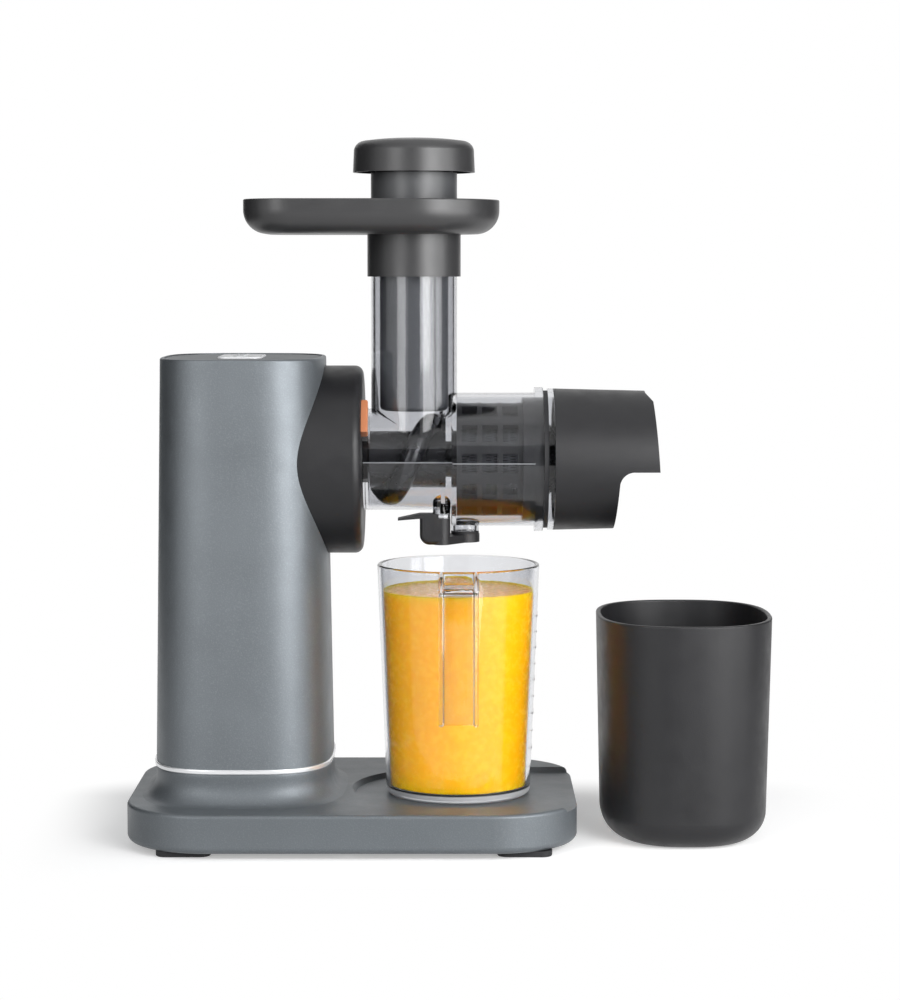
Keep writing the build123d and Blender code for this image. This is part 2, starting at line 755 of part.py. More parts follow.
# Gearbox: two spur stages take the motor's speed down twenty to one.
slow_tip = slow_gear_teeth * module_slow / 2 + gear_addendum * module_slow
fast_tip = fast_gear_teeth * module_fast / 2 + gear_addendum * module_fast
gearbox_lobes = [(axis_z, slow_tip + gearbox_clearance), (layshaft_z, fast_tip + gearbox_clearance),
                 (motor_z, 15.0)]
cover_radius = housing_radius - housing_wall + 0.8


def gearbox_outline(x, grow):
    """Face across the gearbox that holds all its gears, grown outwards."""
    with BuildSketch(Plane((x, 0, 0), x_dir=(0, 1, 0), z_dir=(1, 0, 0))) as face:
        for lobe_z, lobe_radius in gearbox_lobes:
            with Locations((0, lobe_z)):
                Circle(lobe_radius + grow)
        make_hull()
    return face.sketch


def bush_pocket(plane, shaft_radius, length):
    """Blind boss around a bush, standing back from a plane."""
    with BuildPart() as pocket:
        with BuildSketch(plane):
            Circle(shaft_radius + bush_wall + bush_pocket_wall)
        extrude(amount=-length)
    return pocket.part


with BuildPart() as gearbox_case:
    extrude(gearbox_outline(gearbox_left, gearbox_wall), amount=cover_left - gearbox_left)
    extrude(gearbox_outline(gearbox_left + gearbox_floor, 0),
            amount=cover_left - gearbox_left - gearbox_floor, mode=Mode.SUBTRACT)
    add(bush_pocket(across.offset(gearbox_left), output_shaft_radius, bush_length))
    add(bush_pocket(lay_plane.offset(gearbox_left), layshaft_radius,
                    bush_length - gearbox_floor + 1.5))
    with BuildSketch(across.offset(gearbox_left + gearbox_floor)):
        Circle(output_shaft_radius + bush_wall)
    extrude(amount=-bush_length, mode=Mode.SUBTRACT)
    with BuildSketch(lay_plane.offset(gearbox_left + gearbox_floor)):
        Circle(layshaft_radius + bush_wall)
    extrude(amount=-bush_length + 1.5, mode=Mode.SUBTRACT)
    with BuildSketch(motor_plane.offset(gearbox_left + gearbox_floor)):
        Circle(pinion_teeth * module_fast / 2 + gear_addendum * module_fast + 1.0)
    extrude(amount=-gearbox_floor, mode=Mode.SUBTRACT)
write(gearbox_case.part, "gearbox_case")

with BuildPart() as gearbox_cover:
    extrude(gearbox_outline(cover_left, gearbox_wall), amount=gearbox_cover_thickness)
    with BuildSketch(across.offset(cover_left)):
        Circle(cover_radius)
    extrude(amount=gearbox_cover_thickness)
    with BuildSketch(lay_plane.offset(cover_right)):
        Circle(layshaft_radius + bush_wall + 1.5)
    extrude(amount=bush_length - gearbox_cover_thickness)
    with BuildSketch(lay_plane.offset(cover_left)):
        Circle(layshaft_radius + bush_wall)
    extrude(amount=bush_length, mode=Mode.SUBTRACT)
    with BuildSketch(across.offset(cover_left)):
        Circle(output_shaft_radius + 2.0)
        with GridLocations(2 * housing_boss_y, 2 * housing_boss_z, 2, 2):
            Circle(1.9)
    extrude(amount=gearbox_cover_thickness, mode=Mode.SUBTRACT)
write(gearbox_cover.part, "gearbox_cover")

with BuildPart() as gearbox_screws:
    for head_y in (-housing_boss_y, housing_boss_y):
        for head_z in (axis_z - housing_boss_z, axis_z + housing_boss_z):
            seat = Plane((cover_left, head_y, head_z), x_dir=(0, 1, 0), z_dir=(1, 0, 0))
            add(screw(seat, 1.6, 12.0, 3.2, 2.2))
write(gearbox_screws.part, "gearbox_screws")

bush_stations = [
    (across.offset(gearbox_left + gearbox_floor - bush_length), output_shaft_radius),
    (across.offset(bulkhead_face - bush_length), output_shaft_radius),
    (lay_plane.offset(gearbox_left + gearbox_floor - bush_length + 1.5), layshaft_radius),
    (lay_plane.offset(cover_left), layshaft_radius),
]
bush_lengths = [bush_length, bush_length, bush_length - 1.5, bush_length]
with BuildPart() as shaft_bushes:
    for (station, shaft), length in zip(bush_stations, bush_lengths):
        add(tube(station, shaft + bush_wall, shaft + running_gap, length))
write(shaft_bushes.part, "shaft_bushes")

# Auger train: output gear, output shaft with its hexagonal end, and the auger itself.
output_left = gearbox_left + gearbox_floor - bush_length + 1.0
output_shoulder = bulkhead_face + 1.0
hex_end = chamber_left + 2.0
with BuildPart() as output_gear:
    add(spur_gear(across.offset(slow_gear_left), slow_gear_teeth, module_slow, -90,
                  slow_gear_width, output_shaft_radius))
    with BuildSketch(across.offset(slow_gear_left)):
        with PolarLocations(21, 6):
            Circle(6.5)
    extrude(amount=slow_gear_width, mode=Mode.SUBTRACT)
write(output_gear.part, "output_gear")

with BuildPart() as output_shaft:
    with BuildSketch(across.offset(output_left)):
        Circle(output_shaft_radius)
    extrude(amount=output_shoulder - output_left)
    with BuildSketch(across.offset(output_shoulder)):
        RegularPolygon(hex_radius, 6)
    extrude(amount=hex_end - output_shoulder)
write(output_shaft.part, "output_shaft")

hub_left = output_shoulder + 0.5
flight_length = drum_right - 2.0 - auger_left
flight_start = 270 + auger_first_bottom * 360 / auger_pitch
flight_root = (auger_core - 1.5, 56.0)       # radius and half angle of the flight's section
flight_flank = (auger_core + 5.5, 46.0)
flight_shoulder = (auger_radius - 1.3, 28.0)


def polar(radius, angle):
    """Point at a radius and an angle in degrees."""
    return (radius * cos(radians(angle)), radius * sin(radians(angle)))


def mirrored(place):
    """Point at a radius and the opposite of an angle."""
    return polar(place[0], -place[1])


with BuildSketch() as flight_section:
    with BuildLine():
        Polyline(mirrored(flight_flank), mirrored(flight_root), (auger_core / 2, 0),
                 polar(*flight_root), polar(*flight_flank))
        Spline(polar(*flight_flank), polar(*flight_shoulder), (auger_radius, 0),
               mirrored(flight_shoulder), mirrored(flight_flank))
    make_face()
flight = Solid.extrude_linear_with_rotation(
    flight_section.sketch.faces()[0], center=(0, 0, 0), normal=(0, 0, flight_length),
    angle=-flight_length * 360 / auger_pitch)
flight = across.offset(auger_left) * Rotation(0, 0, flight_start) * flight

with BuildPart() as auger:
    with BuildSketch(Plane.XZ):
        with BuildLine():
            Polyline((hub_left, axis_z), (hub_left, axis_z + auger_hub_radius),
                     (auger_left, axis_z + auger_hub_radius), (auger_left, axis_z + auger_core),
                     (drum_left, axis_z + auger_core), (drum_right - 2, axis_z + auger_end_core),
                     (auger_right, axis_z + auger_hub_radius + 3),
                     (auger_right, axis_z + auger_pin_radius),
                     (auger_right + auger_pin_length, axis_z + auger_pin_radius),
                     (auger_right + auger_pin_length, axis_z), close=True)
        make_face()
    revolve(axis=drive_axis)
    add(flight)
    with BuildSketch(across.offset(drum_left - auger_neck_gap - auger_neck_length)):
        Circle(auger_radius + 1)
        Circle(auger_neck_radius, mode=Mode.SUBTRACT)
    extrude(amount=auger_neck_length, mode=Mode.SUBTRACT)
    with BuildSketch(across.offset(hub_left)):
        RegularPolygon(hex_radius + running_gap, 6)
    extrude(amount=hex_end - hub_left + 1, mode=Mode.SUBTRACT)
write(auger.part, "auger")

# Layshaft with the fast gear and the slow pinion.
half_pinion_pitch = 180 / pinion_teeth
with BuildPart() as layshaft_gear:
    add(spur_gear(lay_plane.offset(fast_gear_left), fast_gear_teeth, module_fast, -90,
                  fast_gear_width, layshaft_radius))
    with BuildSketch(lay_plane.offset(fast_gear_left)):
        with PolarLocations(20, 6):
            Circle(7)
    extrude(amount=fast_gear_width, mode=Mode.SUBTRACT)
write(layshaft_gear.part, "layshaft_gear")

layshaft_pinion_left = fast_gear_left + fast_gear_width
with BuildPart() as layshaft_pinion:
    add(spur_gear(lay_plane.offset(layshaft_pinion_left), pinion_teeth, module_slow,
                  90 + half_pinion_pitch, slow_gear_left + slow_gear_width - layshaft_pinion_left,
                  layshaft_radius))
write(layshaft_pinion.part, "layshaft_pinion")

layshaft_left = gearbox_left + gearbox_floor - bush_length + 2.2
layshaft_right = cover_right + bush_length - gearbox_cover_thickness - 0.5
with BuildPart() as layshaft:
    add(tube(lay_plane.offset(layshaft_left), layshaft_radius, 0, layshaft_right - layshaft_left))
    chamfer(layshaft.edges(), 0.5)
write(layshaft.part, "layshaft")

# Motor: can, stator, windings and end bell stay still; rotor, shaft, pinion and fan turn.
motor_left = gearbox_left - motor_length
stack_left = gearbox_left - 8.0 - stack_length
motor_front = 2.0
motor_boss_radius = motor_shaft_radius + bush_wall + 1.8
motor_bush = 6.0
bell_thickness = 3.0
with BuildPart() as motor_can:
    with BuildSketch(motor_plane.offset(motor_left)):
        Circle(motor_radius)
    extrude(amount=motor_length)
    fillet(motor_can.edges().group_by(Axis.X)[-1], 2.0)
    with BuildSketch(motor_plane.offset(motor_left)):
        Circle(motor_radius - motor_wall)
    extrude(amount=motor_length - motor_front, mode=Mode.SUBTRACT)
    with BuildSketch(motor_plane.offset(gearbox_left)):
        Circle(motor_boss_radius)
    extrude(amount=-motor_bush)
    with BuildSketch(motor_plane.offset(gearbox_left)):
        Circle(motor_shaft_radius + bush_wall)
    extrude(amount=-motor_bush, mode=Mode.SUBTRACT)
write(motor_can.part, "motor_can")

with BuildPart() as motor_stator:
    add(tube(motor_plane.offset(stack_left), motor_radius - motor_wall, stator_bore, stack_length))
    with BuildSketch(motor_plane.offset(stack_left)):
        with PolarLocations(stator_bore + 5, 12):
            Rectangle(7, 3.4)
    extrude(amount=stack_length, mode=Mode.SUBTRACT)
write(motor_stator.part, "motor_stator")

with BuildPart() as motor_windings:
    add(tube(motor_plane.offset(stack_left - 4), stator_bore + 9, stator_bore + 1.5, 4))
    add(tube(motor_plane.offset(stack_left + stack_length), stator_bore + 9, stator_bore + 1.5, 4))
    with BuildSketch(motor_plane.offset(stack_left)):
        with PolarLocations(stator_bore + 5, 12):
            Rectangle(6.6, 3.0)
    extrude(amount=stack_length)
write(motor_windings.part, "motor_windings")

with BuildPart() as motor_end_bell:
    with BuildSketch(motor_plane.offset(motor_left - bell_thickness)):
        Circle(motor_radius)
    extrude(amount=bell_thickness)
    with BuildSketch(motor_plane.offset(motor_left)):
        Circle(motor_boss_radius)
    extrude(amount=motor_bush - bell_thickness)
    with BuildSketch(motor_plane.offset(motor_left - bell_thickness)):
        Circle(motor_shaft_radius + bush_wall)
        with PolarLocations(21, 8):
            SlotOverall(10, 4)
    extrude(amount=motor_bush, mode=Mode.SUBTRACT)
write(motor_end_bell.part, "motor_end_bell")

with BuildPart() as motor_bushes:
    for left in (gearbox_left - motor_bush, motor_left - bell_thickness):
        add(tube(motor_plane.offset(left), motor_shaft_radius + bush_wall,
                 motor_shaft_radius + running_gap, motor_bush))
write(motor_bushes.part, "motor_bushes")

fan_left = motor_left - bell_thickness - 1.5 - fan_width
with BuildPart() as motor_shaft:
    add(tube(motor_plane.offset(fan_left - 0.5), motor_shaft_radius, 0,
             fast_gear_left + fast_gear_width + 0.5 - fan_left))
    chamfer(motor_shaft.edges(), 0.4)
write(motor_shaft.part, "motor_shaft")

with BuildPart() as rotor_core:
    add(tube(motor_plane.offset(stack_left), stator_bore - air_gap, motor_shaft_radius,
             stack_length))
write(rotor_core.part, "rotor_core")

with BuildPart() as motor_pinion:
    add(spur_gear(motor_plane.offset(fast_gear_left), pinion_teeth, module_fast,
                  90 + half_pinion_pitch, fast_gear_width, motor_shaft_radius))
write(motor_pinion.part, "motor_pinion")

with BuildPart() as cooling_fan:
    with BuildSketch(motor_plane.offset(fan_left)):
        Circle(9)
        with PolarLocations(0, fan_blades):
            with Locations((fan_radius / 2, 0)):
                Rectangle(fan_radius, 2)
        Circle(fan_radius - 3, mode=Mode.INTERSECT)
    extrude(amount=fan_width)
    add(tube(motor_plane.offset(fan_left), fan_radius, fan_radius - 3.5, fan_width / 2))
    with BuildSketch(motor_plane.offset(fan_left)):
        Circle(motor_shaft_radius)
    extrude(amount=fan_width, mode=Mode.SUBTRACT)
write(cooling_fan.part, "cooling_fan")

# Juicing chamber: one clear moulding of barrel, drum, feed chute, spout and lever pin.
lever_boss_top = axis_z - barrel_radius + 6.5
with BuildPart() as juicing_chamber:
    with BuildSketch(Plane.XZ):
        with BuildLine():
            Polyline((chamber_left, axis_z), (chamber_left, axis_z + barrel_radius),
                     (drum_left - 6.6, axis_z + barrel_radius),
                     (drum_left - 6.6, axis_z + barrel_radius + 3.5),
                     (drum_left - 4.2, axis_z + barrel_radius + 3.5),
                     (drum_left - 4.2, axis_z + barrel_radius),
                     (drum_left, axis_z + barrel_radius), (drum_left, axis_z + drum_radius),
                     (rim_inner_x, axis_z + drum_radius),
                     (rim_inner_x, axis_z + rim_radius + collar_proud),
                     (rim_seal_x, axis_z + rim_radius + collar_proud),
                     (rim_seal_x, axis_z + neck_radius),
                     (rim_seal_x + cap_seal_width, axis_z + neck_radius),
                     (rim_seal_x + cap_seal_width, axis_z + rim_radius),
                     (drum_right, axis_z + rim_radius), (drum_right, axis_z + neck_radius),
                     (drum_right + neck_length, axis_z + neck_radius),
                     (drum_right + neck_length, axis_z), close=True)
        make_face()
    revolve(axis=drive_axis)
    with BuildSketch(Plane.XY.offset(axis_z)):
        with Locations((chute_x, 0)):
            Circle(chute_radius)
    extrude(amount=chute_top - axis_z)
    with BuildSketch(Plane.XY.offset(spout_bottom)):
        with Locations((spout_x, 0)):
            Circle(spout_radius)
    extrude(amount=axis_z - spout_bottom)
    with BuildSketch(Plane.XY.offset(lever_hub_top + slip_gap)):
        with Locations((pivot_x, pivot_y)):
            Circle(lever_round)
    extrude(amount=lever_boss_top + 6 - lever_hub_top)
    with BuildSketch(Plane.XY.offset(lever_bottom + 1)):
        with Locations((pivot_x, pivot_y)):
            Circle(pivot_pin_radius)
    extrude(amount=lever_boss_top - lever_bottom)
    with BuildSketch(across.offset(chamber_left)):
        Circle(coupling_radius)
    extrude(amount=-coupling_length)
    for lug_centre in (0, 180):
        extrude(ring_sector(across.offset(housing_plate_back - slip_gap), coupling_radius - 1,
                            coupling_radius + coupling_lug, lug_centre - coupling_lug_angle / 2,
                            lug_centre + coupling_lug_angle / 2), amount=-coupling_lug_width)
    for lug_centre in (90, 210, 330):
        extrude(ring_sector(across.offset(drum_right + cap_lug_setback), neck_radius - 1, neck_radius + 1,
                            lug_centre - cap_lug_angle / 2, lug_centre + cap_lug_angle / 2),
                amount=cap_lug_width)
    with BuildSketch(across.offset(chamber_left - coupling_length)):
        Circle(coupling_radius - coupling_wall)
    extrude(amount=coupling_length, mode=Mode.SUBTRACT)
    with BuildSketch(across.offset(chamber_left)):
        Circle(shaft_seal_radius)
    extrude(amount=end_plate, mode=Mode.SUBTRACT)
    with BuildSketch(across.offset(chamber_left + end_plate)):
        Circle(barrel_bore)
    extrude(amount=drum_left + drum_wall - chamber_left - end_plate, mode=Mode.SUBTRACT)
    with BuildSketch(across.offset(drum_left + drum_wall)):
        Circle(drum_bore)
    extrude(amount=drum_length - drum_wall + neck_length, mode=Mode.SUBTRACT)
    with BuildSketch(Plane.XY.offset(axis_z)):
        with Locations((chute_x, 0)):
            Circle(chute_bore)
    extrude(amount=chute_top - axis_z, mode=Mode.SUBTRACT)
    with BuildSketch(Plane.XY.offset(spout_bottom)):
        with Locations((spout_x, 0)):
            Circle(spout_bore)
    extrude(amount=axis_z - drum_bore + 3 - spout_bottom, mode=Mode.SUBTRACT)
write(juicing_chamber.part, "juicing_chamber")

with BuildPart() as shaft_seal:
    add(tube(across.offset(chamber_left), shaft_seal_radius, auger_hub_radius + running_gap,
             end_plate))
write(shaft_seal.part, "shaft_seal")

with BuildPart() as cap_seal:
    add(tube(across.offset(rim_seal_x), rim_radius - 1.2, neck_radius, cap_seal_width))
write(cap_seal.part, "cap_seal")

# Strainer: a caged screen that lines the drum, with a wide collar at its right end.
strainer_left = drum_left + drum_wall + 0.3
window_rows = 3
window_count = 12
window_width = 11.0
window_gap = 3.0
window_length = (strainer_right - strainer_left - (window_rows + 1) * window_gap) / window_rows
with BuildPart() as strainer_cage:
    add(tube(across.offset(strainer_left), strainer_radius, screen_outer,
             strainer_right - strainer_left))
    add(tube(across.offset(strainer_right), drum_bore - slip_gap, screen_outer,
             strainer_end - strainer_right))
    for row in range(window_rows):
        window_left = strainer_left + window_gap + row * (window_length + window_gap)
        with BuildSketch(across.offset(window_left)):
            with PolarLocations(strainer_radius, window_count):
                Rectangle(14, window_width)
            Circle(strainer_radius + 1, mode=Mode.INTERSECT)
            Circle(screen_outer - 1, mode=Mode.SUBTRACT)
        extrude(amount=window_length, mode=Mode.SUBTRACT)
write(strainer_cage.part, "strainer_cage")

with BuildPart() as strainer_screen:
    add(tube(across.offset(strainer_left), screen_outer, screen_bore,
             strainer_end - strainer_left))
write(strainer_screen.part, "strainer_screen")

# End cap: a round hood that closes the drum, carries the auger's end and drops the pulp.
cap_left = drum_right + slip_gap
cap_nose_radius = cap_radius - cap_taper
hood_bottom = axis_z - hood_drop
cap_body_right = cap_left + cap_body_length
cap_nose_x = cap_body_right + cap_nose_length
hub_right = auger_right + auger_pin_length + 1.0
hub_left_x = drum_right + neck_length + 0.6
cap_bore = neck_radius + slip_gap
with BuildPart() as hood_cavity:
    with BuildSketch(Plane.XZ):
        with BuildLine():
            Polyline((cap_body_right - 8, hood_bottom - 5),
                     (cap_body_right - 8, axis_z + cap_radius - 4.1),
                     (cap_nose_x - 9, axis_z + cap_radius - 4.1),
                     (cap_nose_x - 5.8, axis_z + cap_radius - 9.5),
                     (cap_nose_x - 3, hood_bottom - 5), close=True)
        make_face()
    extrude(amount=cap_radius, both=True)
    with BuildSketch(across.offset(cap_left)):
        Circle(cap_nose_radius - cap_wall)
    extrude(amount=cap_nose_x, mode=Mode.INTERSECT)

with BuildPart() as end_cap:
    with BuildSketch(Plane.XZ):
        with BuildLine():
            Polyline((cap_body_right, axis_z - cap_radius - 1), (cap_left, axis_z - cap_radius - 1),
                     (cap_left, axis_z + cap_radius + 1), (cap_nose_x - 7, axis_z + cap_radius + 1),
                     (cap_nose_x - 7, axis_z + cap_radius - 2.2),
                     (cap_nose_x - 3, axis_z + cap_radius - 6.8),
                     (cap_nose_x, hood_bottom), (cap_nose_x - 14, hood_bottom))
            ThreePointArc((cap_nose_x - 14, hood_bottom), (cap_nose_x - 21, hood_bottom - 2.4),
                          (cap_body_right + 2.2, hood_bottom - 8.5))
            Line((cap_body_right + 2.2, hood_bottom - 8.5),
                 (cap_body_right, axis_z - cap_radius - 1))
        make_face()
    extrude(amount=cap_radius + 1, both=True)
    with BuildSketch(Plane.XZ):
        with BuildLine():
            Polyline((cap_left, axis_z), (cap_left, axis_z + cap_radius),
                     (cap_nose_x + 1, axis_z + cap_nose_radius), (cap_nose_x + 1, axis_z),
                     close=True)
        make_face()
    revolve(axis=drive_axis, mode=Mode.INTERSECT)
    with BuildSketch(across.offset(cap_left)):
        Circle(cap_bore)
    extrude(amount=neck_length + 1, mode=Mode.SUBTRACT)
    with BuildSketch(across.offset(cap_left)):
        Circle(cap_radius - cap_taper / 2 - cap_wall)
    extrude(amount=cap_body_right - cap_wall - cap_left, mode=Mode.SUBTRACT)
    add(hood_cavity.part, mode=Mode.SUBTRACT)
    groove_left = drum_right + cap_lug_setback - slip_gap
    for lug_centre in (90, 210, 330):
        groove_from = lug_centre - cap_lug_angle / 2 - cap_twist_angle - 1
        groove_to = lug_centre + cap_lug_angle / 2 + 1
        extrude(ring_sector(across.offset(groove_left), cap_bore - 1, neck_radius + 1 + slip_gap,
                            groove_from, groove_to),
                amount=cap_lug_width + 2 * slip_gap, mode=Mode.SUBTRACT)
        extrude(ring_sector(across.offset(cap_left), cap_bore - 1, neck_radius + 1 + slip_gap,
                            groove_from, groove_from + cap_lug_angle + 2),
                amount=groove_left - cap_left, mode=Mode.SUBTRACT)
    with BuildSketch(across.offset(hub_left_x)):
        Circle(auger_pin_radius + bush_wall + 2.5)
    extrude(amount=hub_right - hub_left_x)
    with BuildSketch(across.offset(hub_left_x + 2)):
        with PolarLocations(0, 3, start_angle=30):
            with Locations((cap_bore / 2, 0)):
                Rectangle(cap_bore + 1, 3)
    extrude(amount=6)
    with BuildSketch(across.offset(hub_left_x)):
        Circle(auger_pin_radius + bush_wall)
    extrude(amount=hub_right - hub_left_x, mode=Mode.SUBTRACT)
write(end_cap.part, "end_cap")

with BuildPart() as cap_bush:
    add(tube(across.offset(hub_left_x), auger_pin_radius + bush_wall,
             auger_pin_radius + running_gap, hub_right - hub_left_x))
write(cap_bush.part, "cap_bush")

# Feed tray: a long dish whose collar slips over the chute.
def tray_outline(z, inset):
    """Face of the tray's plan at height z, drawn in by an inset."""
    left_x = chute_x - tray_reach + tray_left_radius
    left_y = tray_radius - tray_left_radius
    with BuildSketch(Plane.XY.offset(z)) as face:
        with Locations((chute_x, 0)):
            Circle(tray_radius - inset)
        with Locations((left_x, left_y), (left_x, -left_y)):
            Circle(tray_left_radius - inset)
        make_hull()
    return face.sketch


with BuildPart() as feed_tray:
    extrude(tray_outline(tray_bottom, 0), amount=tray_height)
    fillet(feed_tray.edges().group_by(Axis.Z)[0], tray_round)
    with BuildSketch(Plane((chute_x, 0, tray_bottom + tray_wall))):
        Circle(chute_radius + slip_gap + collar_wall)
    extrude(amount=-collar_depth - tray_wall)
    with BuildPart(mode=Mode.PRIVATE) as tray_hollow:
        extrude(tray_outline(tray_bottom + tray_wall, tray_wall), amount=tray_height)
        fillet(tray_hollow.edges().group_by(Axis.Z)[0], tray_round - tray_wall)
    add(tray_hollow.part, mode=Mode.SUBTRACT)
    with BuildSketch(Plane((chute_x, 0, tray_bottom))):
        Circle(chute_radius + slip_gap)
    extrude(amount=-collar_depth, mode=Mode.SUBTRACT)
    with BuildSketch(Plane((chute_x, 0, tray_bottom - 1))):
        Circle(chute_bore)
    extrude(amount=tray_height, mode=Mode.SUBTRACT)
    fillet(feed_tray.edges().group_by(Axis.Z)[-1], 0.9)
write(feed_tray.part, "feed_tray")

# Pusher: a hollow plunger with a wide neck that stops on the tray's floor.
neck_bottom = tray_bottom + tray_wall + slip_gap
neck_top = pusher_cap_bottom - slip_gap
with BuildPart() as pusher_body:
    with BuildSketch(Plane((chute_x, 0, pusher_bottom))):
        Circle(pusher_radius)
    extrude(amount=neck_top - pusher_bottom)
    fillet(pusher_body.edges().group_by(Axis.Z)[0], 3)
    with BuildSketch(Plane((chute_x, 0, neck_bottom))):
        Circle(pusher_neck_radius)
    extrude(amount=neck_top - neck_bottom)
    with BuildSketch(Plane((chute_x, 0, pusher_bottom + pusher_wall))):
        Circle(pusher_radius - pusher_wall)
    extrude(amount=neck_top - pusher_bottom, mode=Mode.SUBTRACT)
    with BuildSketch(Plane((chute_x, 0, neck_bottom + pusher_wall))):
        Circle(pusher_neck_radius - pusher_wall)
    extrude(amount=neck_top - neck_bottom, mode=Mode.SUBTRACT)
write(pusher_body.part, "pusher_body")

cap_crown = pusher_cap_bottom + pusher_cap_height
cap_shoulder = cap_crown - 7.0
plug_outer = pusher_neck_radius - pusher_wall - running_gap
plug_depth = 8.0
crown_flat = 6.0
with BuildPart() as pusher_cap:
    with BuildSketch(Plane.XZ):
        with BuildLine():
            Polyline((chute_x, cap_crown), (chute_x, cap_crown - 5),
                     (chute_x + plug_outer - pusher_wall, cap_crown - 5),
                     (chute_x + plug_outer - pusher_wall, pusher_cap_bottom - plug_depth),
                     (chute_x + plug_outer, pusher_cap_bottom - plug_depth),
                     (chute_x + plug_outer, cap_shoulder),
                     (chute_x + pusher_cap_radius - pusher_wall, cap_shoulder),
                     (chute_x + pusher_cap_radius - pusher_wall, pusher_cap_bottom),
                     (chute_x + pusher_cap_radius, pusher_cap_bottom),
                     (chute_x + pusher_cap_radius - 0.6, cap_shoulder))
            ThreePointArc((chute_x + pusher_cap_radius - 0.6, cap_shoulder),
                          (chute_x + pusher_cap_radius - 2.6, cap_crown - 3.4),
                          (chute_x + pusher_cap_radius - 7, cap_crown - 1.6))
            ThreePointArc((chute_x + pusher_cap_radius - 7, cap_crown - 1.6),
                          (chute_x + pusher_cap_radius / 2, cap_crown - 0.4),
                          (chute_x + crown_flat, cap_crown))
            Line((chute_x + crown_flat, cap_crown), (chute_x, cap_crown))
        make_face()
    revolve(axis=Axis((chute_x, 0, 0), (0, 0, 1)))
write(pusher_cap.part, "pusher_cap")

# Drip stop: a lever that turns on the chamber's pin and carries a pad under the spout.
arm_reach = spout_x - pivot_x
pivot_plane = Plane((pivot_x, pivot_y, lever_bottom))
lever_left = pivot_x - lever_reach
leaf_left = lever_left - leaf_length
with BuildPart() as drip_lever:
    with BuildSketch(pivot_plane):
        Circle(lever_round)
        with Locations((-lever_reach, -lever_round)):
            Rectangle(lever_reach, 2 * lever_round, align=(Align.MIN, Align.MIN))
    extrude(amount=lever_top - lever_bottom)
    fillet(drip_lever.edges().filter_by(Axis.Y).group_by(Axis.X)[0].group_by(Axis.Z)[0], 6)
    fillet(drip_lever.edges().filter_by(Axis.Z).group_by(Axis.X)[0], 3)
    with BuildSketch(pivot_plane):
        with Locations((0, 0), (arm_reach, -pivot_y)):
            Circle(lever_round)
        make_hull()
        with Locations((arm_reach, -pivot_y)):
            Circle(spout_radius + 0.4)
    extrude(amount=lever_arm_top - lever_bottom)
    with BuildSketch(Plane.XZ.offset(-pivot_y - lever_round)):
        with BuildLine():
            Polyline((lever_left + 3, lever_top), (lever_left, lever_top),
                     (leaf_left, lever_top - leaf_drop),
                     (leaf_left, lever_top - leaf_drop - leaf_tip),
                     (lever_left + 3, lever_top - leaf_root), close=True)
        make_face()
    extrude(amount=2 * lever_round)
    with BuildSketch(pivot_plane.offset(lever_hub_top - lever_bottom)):
        Circle(lever_round + slip_gap)
    extrude(amount=lever_hub_drop, mode=Mode.SUBTRACT)
    with BuildSketch(pivot_plane):
        Circle(pivot_pin_radius + slip_gap)
    extrude(amount=lever_top - lever_bottom, mode=Mode.SUBTRACT)
write(drip_lever.part, "drip_lever")

with BuildPart() as drip_pad:
    with BuildSketch(Plane((spout_x, 0, lever_arm_top))):
        Circle(spout_radius)
    extrude(amount=pad_top - lever_arm_top)
    fillet(drip_pad.edges().group_by(Axis.Z)[-1], 0.5)
write(drip_pad.part, "drip_pad")

# Jug: a clear tapered beaker with an open gutter of a handle that hangs from its rim.
handle_root = jug_y - jug_top_radius
handle_front = handle_root - handle_reach
handle_bottom = jug_top - handle_length
handle_inner = handle_front + handle_depth
bend = 12.0


def handle_side(front, top, back, bottom):
    """Face of the handle seen from the side: a top run that bends down into the grip."""
    with BuildSketch(Plane.YZ.offset(jug_x)) as face:
        with BuildLine():
            Polyline((handle_root + 2, top), (front + bend, top))
            RadiusArc((front + bend, top), (front, top - bend), -bend)
            Polyline((front, top - bend), (front, bottom), (back, bottom), (back, top - bend))
            RadiusArc((back, top - bend), (back + bend - handle_depth, top - handle_depth),
                      bend - handle_depth)
            Polyline((back + bend - handle_depth, top - handle_depth),
                     (handle_root + 2, top - handle_depth), (handle_root + 2, top))
        make_face()
    return face.sketch


with BuildPart() as juice_jug:
    with BuildSketch(Plane((jug_x, jug_y, jug_bottom))):
        Circle(jug_bottom_radius)
    with BuildSketch(Plane((jug_x, jug_y, jug_top))):
        Circle(jug_top_radius)
    loft()
    fillet(juice_jug.edges().group_by(Axis.Z)[0], jug_foot_round)
    extrude(handle_side(handle_front, jug_top, handle_inner, handle_bottom),
            amount=handle_width / 2, both=True)
    with BuildSketch(Plane.YZ.offset(jug_x)):
        with BuildLine():
            Polyline((handle_root, jug_top + 1), (handle_front - 1, jug_top + 1),
                     (handle_front - 1, handle_bottom - 1),
                     (handle_inner - handle_wall, handle_bottom - 1),
                     (handle_inner - handle_wall, jug_top - bend))
            RadiusArc((handle_inner - handle_wall, jug_top - bend),
                      (handle_inner + bend - handle_depth, jug_top - handle_depth + handle_wall),
                      bend - handle_depth + handle_wall)
            Polyline((handle_inner + bend - handle_depth, jug_top - handle_depth + handle_wall),
                     (handle_root, jug_top - handle_depth + handle_wall),
                     (handle_root, jug_top + 1))
        make_face()
    extrude(amount=handle_width / 2 - handle_wall, both=True, mode=Mode.SUBTRACT)
    with BuildSketch(Plane((jug_x, jug_y, jug_bottom + jug_floor))):
        Circle(jug_bottom_radius - jug_wall)
    with BuildSketch(Plane((jug_x, jug_y, jug_top))):
        Circle(jug_top_radius - jug_wall)
    loft(mode=Mode.SUBTRACT)
write(juice_jug.part, "juice_jug")

